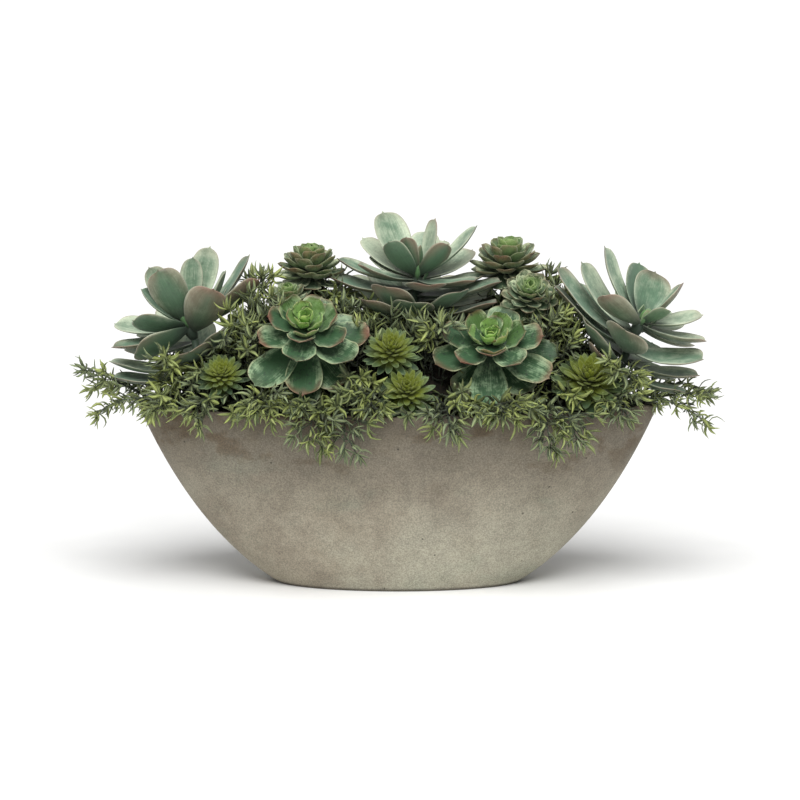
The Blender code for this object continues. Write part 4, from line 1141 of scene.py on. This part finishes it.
# Each carpet shoot: shares of its length to try, steps of its arch, its room, root and leaves
CARPET_SHARES = (1.0, 0.75, 0.5, 0.3)
CARPET_ARCH_STEPS = 5
CARPET_ROOM = 1.3
CARPET_ROOT = 4.0
CARPET_LEAF = 19.5


def carpet_top(x, table):
    """Height that the shoots reach at a place along the bowl."""
    places, tops = zip(*table)
    return float(np.interp(x, places, tops))


def carpet_places(chance):
    """Places of the carpet's shoots, and how far out each lies from 0 at the middle to 1 at the wall."""
    length, depth, _ = bowl_section(INNER_STEPS[0], WALL)
    for row in range(-CARPET_ROWS, CARPET_ROWS + 1):
        for column in range(-CARPET_COLUMNS, CARPET_COLUMNS + 1):
            x = (column + 0.5 * (row % 2)) * CARPET_STEP[0] + chance.uniform(-CARPET_STRAY, CARPET_STRAY)
            y = row * CARPET_STEP[1] + chance.uniform(-CARPET_STRAY, CARPET_STRAY)
            out = math.hypot(x / length, y / depth)
            if out <= CARPET_EDGE:
                yield x, y, out


def carpet_arch(x, y, out, chance):
    """Seat, crown and end of the carpet's shoot at a place."""
    length, depth, _ = bowl_section(INNER_STEPS[0], WALL)
    seat = seat_on_soil((x, y))
    way = Vector((x / length**2, y / depth**2, 0.0)) * length
    way = way.normalized() if out > STRAIGHT_TO else Vector()
    rim = max(0.0, (out - RIM_FROM) / (CARPET_EDGE - RIM_FROM))
    top = carpet_top(x, CARPET_TOPS) + CARPET_BACK * clamp(y / CARPET_BACK_FROM)
    top = max(top + chance.uniform(-TOP_STRAY, TOP_STRAY), seat.z + LEAST_RISE)
    rise = (top - seat.z) * (1.0 - (FRONT_FALL * rim if y < 0.0 else BACK_FALL * rim**2))
    end = seat + way * (LEAN_OUT * out + rim * chance.uniform(*RIM_LEAN)) + UP * rise
    end += Vector([chance.uniform(-stray, stray) for stray in END_STRAY] + [0.0])
    end.z -= rim * chance.uniform(*(FRONT_DROOP if y < 0.0 else BACK_DROOP))
    if y < CARPET_FRONT_FROM:
        end.z = min(end.z, carpet_top(x, CARPET_FRONT_TOPS) + chance.uniform(*FRONT_TOP_STRAY))
    crown = seat.lerp(end, CARPET_CROWN)
    if rim > ARCHED_FROM:
        crown.z = max(seat.z, end.z) + CROWN_RISE * rim
    return seat, crown, end


def grow_carpet(bed, chance):
    """Small shoots over the whole soil, leaning out over the rim where they stand near it."""
    quarters = {}
    for x, y, out in carpet_places(chance):
        seat, crown, end = carpet_arch(x, y, out, chance)
        quarter = ("back" if y > 0.0 else "front") + ("_right" if x > 0.0 else "_left")
        skins = quarters.setdefault(quarter, Skins())
        for share in CARPET_SHARES:
            middle, goal = seat.lerp(crown, share), seat.lerp(end, share)
            steps = range(CARPET_ARCH_STEPS + 1)
            bow = [on_arch(seat, middle, goal, step / CARPET_ARCH_STEPS) for step in steps]
            if bed.is_clear("carpet", tube(bow, CARPET_ROOM), ("soil",)):
                places = [seat - UP * CARPET_ROOT, *[place for place, _ in bow]]
                fine_shoot(bed, skins, "carpet", places, "carpet", CARPET_LEAF, chance)
                break
    return quarters


def srgb(red, green, blue):
    """A linear colour from the usual 0 to 255 values."""
    return tuple(((value / 255.0 + 0.055) / 1.055) ** 2.4 for value in (red, green, blue)) + (1.0,)


SHEEN_ROUGHNESS = 0.6


class Recipe:
    """A material's nodes, put down one by one."""

    def __init__(self, name, sheen=0.0):
        self.material = bpy.data.materials.new(name)
        self.material.use_nodes = True
        self.tree = self.material.node_tree
        self.shader = self.tree.nodes["Principled BSDF"]
        self.shader.inputs["Sheen Weight"].default_value = sheen
        self.shader.inputs["Sheen Roughness"].default_value = SHEEN_ROUGHNESS
        self.place = self.node("ShaderNodeTexCoord").outputs["Object"]

    def node(self, kind, **settings):
        """A new node with its settings."""
        made = self.tree.nodes.new(kind)
        for key, value in settings.items():
            setattr(made, key, value)
        return made

    def feed(self, socket, value):
        """Link a socket to another, or set its value."""
        if isinstance(value, bpy.types.NodeSocket):
            self.tree.links.new(value, socket)
        else:
            socket.default_value = value

    def maths(self, operation, *values):
        """The result of a sum on one, two or three values."""
        made = self.node("ShaderNodeMath", operation=operation)
        for socket, value in zip(made.inputs, values):
            self.feed(socket, value)
        return made.outputs[0]

    def times(self, first, second):
        """The product of two values."""
        return self.maths("MULTIPLY", first, second)

    def plus(self, first, second):
        """The sum of two values."""
        return self.maths("ADD", first, second)

    def blend(self, first, first_share, second, second_share):
        """The sum of two values, each by its share."""
        return self.plus(self.times(first, first_share), self.times(second, second_share))

    def swing(self, value, reach):
        """A value from 0 to 1 turned into one about nought, scaled by a reach."""
        return self.times(self.maths("SUBTRACT", value, 0.5), reach)

    def step(self, value, low, high, start=0.0, end=1.0):
        """A smooth step of a value between two limits."""
        made = self.node("ShaderNodeMapRange", interpolation_type="SMOOTHSTEP")
        for socket, item in zip(made.inputs, (value, low, high, start, end)):
            self.feed(socket, item)
        return made.outputs[0]

    def noise(self, scale, detail=3.0, vector=None, rough=0.55):
        """Soft noise between about 0.2 and 0.8."""
        made = self.node("ShaderNodeTexNoise")
        self.feed(made.inputs["Vector"], vector or self.place)
        made.inputs["Scale"].default_value = scale
        made.inputs["Detail"].default_value = detail
        made.inputs["Roughness"].default_value = rough
        return made.outputs["Fac"]

    def mix(self, share, first, second, blend="MIX"):
        """Two colours mixed by a share."""
        made = self.node("ShaderNodeMix", data_type="RGBA", blend_type=blend)
        self.feed(made.inputs[0], share)
        self.feed(made.inputs[6], first)
        self.feed(made.inputs[7], second)
        return made.outputs[2]

    def tint(self, colour, share, over):
        """A colour mixed by a share with one over it, given from 0 to 255."""
        return self.mix(share, colour, srgb(*over))

    def range(self, share, first, second):
        """A colour between two, given from 0 to 255."""
        return self.mix(share, srgb(*first), srgb(*second))

    def shaded(self, colour, level):
        """A colour times a level."""
        shade = self.node("ShaderNodeCombineColor")
        for socket in shade.inputs:
            self.feed(socket, level)
        return self.mix(1.0, colour, shade.outputs[0], "MULTIPLY")

    def split(self, label):
        """The three values of an attribute."""
        found = self.node("ShaderNodeAttribute", attribute_name=label, attribute_type="GEOMETRY")
        parts = self.node("ShaderNodeSeparateXYZ")
        self.tree.links.new(found.outputs["Vector"], parts.inputs[0])
        return parts.outputs

    def squeezed(self, factor):
        """The object's coordinates, squeezed in height by a factor."""
        made = self.node("ShaderNodeVectorMath", operation="MULTIPLY")
        self.feed(made.inputs[0], self.place)
        self.feed(made.inputs[1], (1.0, 1.0, factor))
        return made.outputs[0]

    def finish(self, colour, roughness, height, distance, strength=1.0):
        """Feed the shader its colour, roughness and bump."""
        self.feed(self.shader.inputs["Base Color"], colour)
        self.feed(self.shader.inputs["Roughness"], roughness)
        bump = self.node("ShaderNodeBump")
        bump.inputs["Strength"].default_value = strength
        bump.inputs["Distance"].default_value = distance
        self.feed(bump.inputs["Height"], height)
        self.feed(self.shader.inputs["Normal"], bump.outputs[0])
        return self.material


# Looks of the leaves, with colours from 0 to 255: the upper face's light and deep, the under face's under
# and brown, darker partly as painted shade, the heart's, the blush of tips and edges, the thin edge's line
# and rim, and the dark flecks'.
# The heart's colour comes in over a span from the outermost leaf at 0 to the heart at 1, and earlier by
# root_share at the leaves' roots. The shares say how strong blush, shore (blush along the edges), rim,
# margin (lighter edges), patch (lighter patches) and spots are, and rough is the roughness
TONES = {
    "large_leaf": {
        "light": (212, 224, 196), "deep": (98, 130, 104), "under": (72, 102, 74), "brown": (106, 100, 78),
        "heart": (96, 142, 76), "blush": (132, 84, 70), "line": (186, 188, 164), "rim": (166, 122, 102),
        "dark": (50, 62, 52), "heart_span": (0.3, 1.0), "root_share": 0.0, "blush_from": 0.8,
        "blush_share": 0.45, "shore": 0.35, "rim_share": 0.65, "margin": 0.25, "patch": 0.18,
        "spots": 0.3, "rough": (0.42, 0.62),
    },
    "medium_leaf": {
        "light": (146, 174, 134), "deep": (44, 82, 46), "under": (54, 74, 42), "brown": (98, 74, 52),
        "heart": (150, 194, 88), "blush": (136, 62, 50), "line": (170, 186, 140), "rim": (150, 92, 70),
        "dark": (30, 44, 32), "heart_span": (0.3, 1.0), "root_share": 0.0, "blush_from": 0.8,
        "blush_share": 0.6, "shore": 0.45, "rim_share": 0.85, "margin": 0.4, "patch": 0.55,
        "spots": 1.0, "rough": (0.42, 0.6),
    },
    "dense_leaf": {
        "light": (206, 218, 178), "deep": (86, 112, 80), "under": (92, 114, 70), "brown": (110, 100, 64),
        "heart": (132, 170, 84), "blush": (122, 84, 60), "line": (156, 170, 128), "rim": (124, 100, 70),
        "dark": (30, 42, 28), "heart_span": (0.55, 1.1), "root_share": 0.0, "blush_from": 0.7,
        "blush_share": 0.6, "shore": 0.5, "rim_share": 0.6, "margin": 0.6, "patch": 0.75,
        "spots": 0.9, "rough": (0.45, 0.62),
    },
    "lime_leaf": {
        "light": (118, 142, 90), "deep": (46, 72, 40), "under": (56, 78, 42), "brown": (78, 82, 30),
        "heart": (126, 136, 8), "blush": (104, 116, 80), "line": (120, 140, 80), "rim": (120, 140, 88),
        "dark": (32, 42, 16), "heart_span": (0.1, 0.9), "root_share": 0.75, "blush_from": 0.8,
        "blush_share": 0.3, "shore": 0.2, "rim_share": 0.4, "margin": 0.4, "patch": 0.3,
        "spots": 0.2, "rough": (0.45, 0.62),
    },
}
# Narrow leaves: ranges at the foot of a shoot, dark partly as painted shade, and of its two kinds of tip,
# then leaf foot and the painted highlight along the middle
SPRIG_TONE = {
    "low": ((22, 28, 18), (58, 72, 44)), "grey": ((76, 92, 62), (138, 154, 114)),
    "lime": ((98, 116, 46), (170, 182, 96)), "foot": (70, 84, 48), "rib": (196, 204, 138),
}
# Concrete: the range of its plain colour, and the strength and colour of each coat over it. Green, stain
# and rust are its own colour; pale is painted light from the floor, the band at the rim is partly painted
# shade and foot is a painted shadow
CONCRETE_PLAIN = ((143, 134, 118), (163, 155, 137))
CONCRETE_COATS = {
    "pale": (0.6, (176, 174, 156)), "green": (0.35, (154, 162, 144)), "stain": (0.65, (114, 101, 82)),
    "rust": (0.65, (108, 88, 62)), "damp": (0.45, (94, 79, 58)), "foot": (0.75, (60, 54, 46)),
}
SOIL_PLAIN = ((24, 21, 16), (56, 48, 36))
SOIL_MOSS = (46, 52, 30)
FLOOR_PLAIN = ((240, 240, 239), (244, 244, 243))


def leaf_material(kind):
    """Waxy leaf: a light upper face, a darker under face that is partly painted shade, blushed tips and
    rims, faint streaks, and painted shade towards the roots.
    """
    tone = TONES[kind]
    look = Recipe(kind + "_wax", sheen=0.12)
    along, across, face = look.split("leaf")[:3]
    chance, brownness, inner = look.split("mood")[:3]
    edge = look.maths("ABSOLUTE", across)
    calm = look.step(inner, 0.5, 1.0, 1.0, 0.25)
    brownness = look.times(brownness, calm)

    # Noise over the object, and along each leaf in its own way
    broad = look.noise(38.0, 3.0)
    fine = look.noise(420.0, 4.0)
    blotch = look.noise(90.0, 6.0, rough=0.68)
    own = look.node("ShaderNodeCombineXYZ")
    for socket, value in zip(own.inputs, (look.times(across, 9.0), along, look.times(chance, 40.0))):
        look.feed(socket, value)
    streak = look.noise(2.2, 3.0, own.outputs[0])
    stain = look.noise(3.4, 7.0, own.outputs[0])

    # Upper and under face, the under face darker partly in its own colour and partly as painted shade
    patch = look.step(look.blend(stain, 0.4, blotch, 0.6), 0.42, 0.6)
    # A leaf's own tone in mood is half random and half painted backlight
    light = look.blend(broad, 0.5, chance, 0.7)
    light = look.plus(light, look.times(look.step(edge, 0.35, 0.95, -0.4, 0.6), tone["margin"]))
    light = look.plus(light, look.swing(patch, tone["patch"]))
    upper = look.range(look.step(light, 0.3, 0.95), tone["deep"], tone["light"])
    brown = look.plus(look.times(broad, 0.5), brownness)
    brown = look.plus(brown, look.step(look.plus(edge, along), 0.5, 1.7, -0.3, 0.45))
    under_face_and_shade = look.range(look.step(brown, 0.6, 1.5), tone["under"], tone["brown"])
    under_face_and_shade = look.tint(under_face_and_shade, look.times(look.step(light, 0.5, 1.1), 0.3), tone["light"])
    colour = look.mix(look.step(face, -0.25, 0.25), under_face_and_shade, upper)

    # Heart
    core = look.times(look.step(along, 0.1, 0.85, 1.0, 0.0), tone["root_share"])
    core = look.step(look.plus(inner, core), *tone["heart_span"])
    colour = look.tint(colour, look.times(core, 0.85), tone["heart"])

    # Blush along the edges, a thin rim, and blush at the tip
    ragged = look.swing(broad, 0.35)
    shore = look.step(look.plus(edge, look.swing(stain, 0.5)), 0.5, 1.0)
    shore = look.times(shore, look.step(along, 0.45, 0.95))
    shore = look.times(shore, look.times(brownness, tone["shore"]))
    colour = look.tint(colour, shore, tone["blush"])
    rim = look.step(look.plus(edge, look.times(ragged, 0.3)), 0.88, 0.995)
    rim = look.times(rim, look.times(look.step(along, 0.3, 0.7), calm))
    line = look.range(look.step(look.blend(along, 0.5, stain, 0.8), 0.72, 1.05), tone["line"], tone["rim"])
    colour = look.mix(look.times(rim, tone["rim_share"]), colour, line)
    tip = look.step(look.plus(along, ragged), tone["blush_from"], 1.0)
    tip = look.times(tip, look.times(brownness, tone["blush_share"]))
    colour = look.tint(colour, tip, tone["blush"])

    # Flecks, grain and shade at the root
    fleck = look.step(look.noise(240.0, 3.0, rough=0.7), 0.55, 0.64)
    fleck = look.times(fleck, look.step(look.noise(60.0, 2.0), 0.45, 0.6))
    fleck = look.times(look.times(fleck, tone["spots"]), 0.75)
    colour = look.tint(colour, fleck, tone["dark"])
    grain = look.step(look.blend(streak, 0.6, fine, 0.4), 0.3, 0.7, 0.86, 1.1)
    colour = look.shaded(colour, look.times(grain, look.step(along, 0.0, 0.55, 0.2, 1.0)))
    rough = look.step(look.blend(fine, 0.5, broad, 0.5), 0.3, 0.7, *tone["rough"])
    return look.finish(colour, rough, look.blend(streak, 0.7, fine, 0.3), 0.0006, 0.6)


def sprig_material():
    """Narrow leaves: dark and grey-green at the foot of a shoot, partly as painted shade, and yellow-green
    at its tips, with a painted highlight along the middle and an under face darkened partly as painted
    shade.
    """
    tone = SPRIG_TONE
    look = Recipe("sprig_green", sheen=0.08)
    along, across, face = look.split("leaf")[:3]
    chance, share, other = look.split("mood")[:3]
    # Dark low leaves, partly the shoot's own older leaves and partly painted shade deep in the carpet
    low = look.range(chance, *tone["low"])
    grey, lime = look.range(other, *tone["grey"]), look.range(other, *tone["lime"])
    high = look.mix(look.step(chance, 0.25, 0.7), grey, lime)
    level = look.plus(share, look.swing(other, 0.6))
    colour = look.mix(look.step(level, 0.3, 1.05), low, high)
    colour = look.tint(colour, look.times(look.step(along, 0.0, 0.7, 1.0, 0.0), 0.35), tone["foot"])
    # Painted highlight along the middle of each leaf, strongest on the upper leaves
    rib = look.step(look.maths("ABSOLUTE", across), 0.5, 0.0, 0.0, 0.4)
    colour = look.tint(colour, look.times(rib, look.step(level, 0.2, 0.9)), tone["rib"])
    fine = look.noise(900.0, 2.0)
    grain = look.step(fine, 0.3, 0.7, 0.85, 1.1)
    # Grain, and the under face darker, partly as painted shade
    colour = look.shaded(colour, look.times(grain, look.step(face, -0.5, 0.5, 0.8, 1.0)))
    return look.finish(colour, look.step(fine, 0.3, 0.7, 0.45, 0.65), fine, 0.0003, 0.5)


def concrete_material():
    """Cast concrete: speckled grain, brown stains under the rim and small pits, with paler low patches as
    painted light from the floor, a darker rim partly as painted shade and a painted shadow line at the
    foot.
    """
    look = Recipe("cast_concrete")
    parts = look.node("ShaderNodeSeparateXYZ")
    look.feed(parts.inputs[0], look.place)
    height = parts.outputs["Z"]
    broad = look.noise(7.0, 4.0)
    patch = look.noise(19.0, 5.0, rough=0.6)
    mottle = look.noise(70.0, 6.0, rough=0.7)
    grain = look.noise(620.0, 3.0, rough=0.7)
    sand = look.noise(1500.0, 2.0)
    green = look.noise(11.0, 3.0, look.squeezed(1.7))
    rust = look.noise(23.0, 4.0, look.squeezed(1.6))

    # Plain colour and its coats
    places = {
        # Painted light: paler patches low on the bowl, for light thrown up from the floor
        "pale": look.times(look.step(height, 0.16, 0.03), look.step(broad, 0.4, 0.62)),
        "green": look.times(look.step(green, 0.55, 0.72), look.step(height, 0.18, 0.12)),
        "stain": look.times(look.step(height, 0.1, 0.19), look.step(patch, 0.42, 0.66)),
        "rust": look.times(look.step(rust, 0.52, 0.66), look.step(height, 0.11, 0.175, 0.15, 1.0)),
        # Partly stain, partly painted shade: a darker brown band at the rim under the plants
        "damp": look.step(look.plus(height, look.times(mottle, 0.03)), 0.175, 0.215),
        # Painted shadow: a dark line at the foot where the bowl meets the floor
        "foot": look.step(height, 0.0045, 0.0005),
    }
    colour = look.range(look.step(patch, 0.32, 0.68), *CONCRETE_PLAIN)
    for name, (strength, coat) in CONCRETE_COATS.items():
        colour = look.tint(colour, look.times(places[name], strength), coat)

    # Speckles, darker towards the rim partly as painted shade under the plants and partly as staining, and
    # seldom pits
    pits = look.node("ShaderNodeTexVoronoi", feature="F1")
    look.feed(pits.inputs["Vector"], look.place)
    pits.inputs["Scale"].default_value = 75.0
    seldom = look.node("ShaderNodeSeparateColor")
    look.feed(seldom.inputs[0], pits.outputs["Color"])
    pit = look.step(pits.outputs["Distance"], 0.1, 0.05)
    pit = look.times(pit, look.step(seldom.outputs[0], 0.86, 0.9))
    speckle = look.blend(grain, 0.75, mottle, 0.25)
    level = look.times(look.step(speckle, 0.35, 0.65, 0.7, 1.26), look.step(height, 0.03, 0.2, 0.98, 0.62))
    level = look.times(level, look.step(sand, 0.3, 0.75, 0.9, 1.08))
    level = look.times(level, look.maths("SUBTRACT", 1.0, look.times(pit, 0.6)))
    rise = look.maths("SUBTRACT", look.blend(grain, 0.5, mottle, 0.9), look.times(pit, 1.6))
    rough = look.step(speckle, 0.3, 0.7, 0.78, 0.95)
    return look.finish(look.shaded(colour, level), rough, rise, 0.0009, 0.7)


def soil_material():
    """Dark, crumbly soil with some moss."""
    look = Recipe("dark_soil")
    crumb = look.noise(240.0, 6.0, rough=0.7)
    broad = look.noise(40.0, 3.0)
    colour = look.range(look.step(crumb, 0.35, 0.7), *SOIL_PLAIN)
    colour = look.tint(colour, look.times(look.step(broad, 0.5, 0.7), 0.4), SOIL_MOSS)
    return look.finish(colour, look.step(crumb, 0.3, 0.7, 0.85, 1.0), crumb, 0.004)


def floor_material():
    """A plain pale floor."""
    look = Recipe("pale_floor")
    fine = look.noise(6.0, 2.0)
    colour = look.range(look.step(fine, 0.3, 0.7), *FLOOR_PLAIN)
    return look.finish(colour, look.step(fine, 0.3, 0.7, 0.8, 0.85), fine, 0.0001, 0.1)


# Fine bowl and soil
SHELL_SIDES = 192
SHELL_STEPS = 26
SOIL_SIDES = 160
SOIL_SHARES = tuple(1.0 - step / 22.0 for step in range(1, 22))
CRUMB = 2.2
CRUMB_SCALES = (0.09, 0.31)
SMALL_CRUMB = 0.6


def lofted(name, rings, start, end, material):
    """A smooth closed skin over rings."""
    skins = Skins()
    grid = np.array(rings)
    skins.add(grid, np.array(start), np.array(end), np.zeros(grid.shape), (0.0, 0.0, 0.0))
    return skins.piece(name, material)


def make_bowl(material):
    """The concrete bowl with round edges."""
    rings = bowl_rings(SHELL_SIDES, SHELL_STEPS)
    floor = Vector((0.0, 0.0, rings[0][0].z))
    return lofted("bowl_shell", rings, floor, Vector(), material)


def make_soil(material):
    """The soil, crumbled over its mound."""
    rings = soil_rings(SOIL_SIDES, SOIL_SHARES)
    for point in sum(rings[len(INNER_STEPS):], []):
        large, small = (noise.noise(point * scale) for scale in CRUMB_SCALES)
        point.z += CRUMB * (large + SMALL_CRUMB * small)
    floor = Vector((0.0, 0.0, rings[0][0].z))
    return lofted("soil_surface", rings, floor, seat_on_soil((0.0, 0.0)), material)


# Painted backlight: how much lighter a leaf that leans to the back is than one that leans to the front
BACKLIGHT_GAIN = {"rosette_centre": 1.6, "rosette_right": -0.3, "rosette_left": 0.6}
OTHER_BACKLIGHT_GAIN = 0.8
# The lowest leaves of a plant are flat and lie a little deeper
LOW_FROM = -0.1
LOW_GAIN = 20.0
LOW_SINK = 1.0
LOW_FLAT = 0.8
# How fast the shorter leaves of a rosette count as inner ones
INNER_GAIN = 1.6


def leaves_of(bed, name, centre, axis, style, shape, kind, leaves, chance):
    """A plant's leaves, each with how far in it stands. A rosette's are those of its solid and a bud."""
    if leaves is None:
        return spiral_leaves(bed, name, centre, axis, style, SPIRALS[kind], shape, chance)
    reach = max((tip - root).length for root, tip, _, _ in leaves)
    leaves = [(*leaf, max(0.0, 1.0 - INNER_GAIN * (leaf[1] - leaf[0]).length / reach)) for leaf in leaves]
    length, bud = BUDS[kind]
    inside = spiral_leaves(bed, name, centre, axis, style, bud, length, chance)
    return leaves + [(*leaf, between((0.5, 1.0), inner)) for *leaf, inner in inside]


def dress_plants(bed, grown, materials, chance):
    """The fine leaves of every rosette and head."""
    made = []
    for name, centre, axis, stem, style, shape, kind, leaves in grown:
        skins = Skins()
        fine_core(skins, centre, axis, stem, style)
        backlight_gain = BACKLIGHT_GAIN.get(name, OTHER_BACKLIGHT_GAIN)
        leaves = leaves_of(bed, name, centre, axis, style, shape, kind, leaves, chance)
        for root, tip, upper, width, inner in leaves:
            ahead = (tip - root).normalized()
            # A leaf's own tone: half random, half painted backlight by how far it leans back
            mood = (0.5 * chance.random() + 0.5 * clamp(0.5 + backlight_gain * ahead.y), chance.random(), inner)
            low = clamp(LOW_GAIN * (LOW_FROM - ahead.dot(axis)))
            sunk = axis * LOW_SINK * low
            flat = {**style, "cup": style["cup"] * (1.0 - LOW_FLAT * low)}
            fine_leaf(skins, root - sunk, tip - sunk, upper, width, flat, LEAVES[kind], mood, chance)
        made.append((skins.piece(name + "_leaves", materials[kind]), name, kind))
    return made


def main():
    """Make every piece, hang it under the root and hide the solid that it stands for, where there is one.
    """
    bed, grown, sprigs = grow_arrangement()
    chance = random.Random(SEED + 1)
    materials = {kind: leaf_material(kind) for kind in TONES}
    materials["sprig_leaf"] = sprig_material()
    made = [
        (make_bowl(concrete_material()), "bowl", "concrete"),
        (make_soil(soil_material()), "soil", "soil"),
    ]
    made += dress_plants(bed, grown, materials, chance)
    for name, start, crown, tip, stem, side_way in sprigs:
        skins = fine_sprig(bed, name, start, crown, tip, stem, side_way, chance)
        made.append((skins.piece(name + "_leaves", materials["sprig_leaf"]), name, "sprig_leaf"))
    for quarter, skins in grow_carpet(bed, chance).items():
        made.append((skins.piece("carpet_" + quarter, materials["sprig_leaf"]), None, "sprig_leaf"))
    for piece, node, slot in made:
        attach(piece, "root")
        if node:
            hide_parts(node)


# Studio: a pale floor, a bright even sky and one soft light from above the front
CAMERA_TARGET = Vector((0.002, 0.0, 0.1975))
CAMERA_DISTANCE = 3.2
CAMERA_RISE = math.radians(9.0)
CAMERA_LENS = 133.7
CAMERA_SENSOR = 36.0
FLOOR_HALF = 40.0
SKY_STRENGTH = 0.37
LIGHT_STRENGTH = 3.35
LIGHT_TURN = (math.radians(30.0), math.radians(8.0), math.radians(-12.0))
LIGHT_SPREAD = math.radians(50.0)


def linked(name, data):
    """A new object in the scene."""
    made = bpy.data.objects.new(name, data)
    bpy.context.scene.collection.objects.link(made)
    return made


def make_studio():
    """Floor, sky, light and camera."""
    scene = bpy.context.scene
    mesh = bpy.data.meshes.new("floor")
    corners = [(-1.0, -1.0), (1.0, -1.0), (1.0, 1.0), (-1.0, 1.0)]
    mesh.from_pydata([(x * FLOOR_HALF, y * FLOOR_HALF, 0.0) for x, y in corners], [], [(0, 1, 2, 3)])
    mesh.materials.append(floor_material())
    floor = linked("floor", mesh)
    sky = bpy.data.worlds.new("sky")
    sky.use_nodes = True
    background = sky.node_tree.nodes["Background"]
    background.inputs["Color"].default_value = (1.0, 1.0, 1.0, 1.0)
    background.inputs["Strength"].default_value = SKY_STRENGTH
    scene.world = sky
    light = linked("soft_light", bpy.data.lights.new("soft_light", "SUN"))
    light.data.energy = LIGHT_STRENGTH
    light.data.angle = LIGHT_SPREAD
    light.rotation_euler = LIGHT_TURN
    camera = linked("camera", bpy.data.cameras.new("camera"))
    camera.data.lens = CAMERA_LENS
    camera.data.sensor_width = CAMERA_SENSOR
    back = Vector((0.0, -math.cos(CAMERA_RISE), math.sin(CAMERA_RISE)))
    camera.location = CAMERA_TARGET + back * CAMERA_DISTANCE
    camera.rotation_euler = (-back).to_track_quat("-Z", "Y").to_euler()
    scene.camera = camera
    scene.view_settings.view_transform = "Standard"


main()
make_studio()
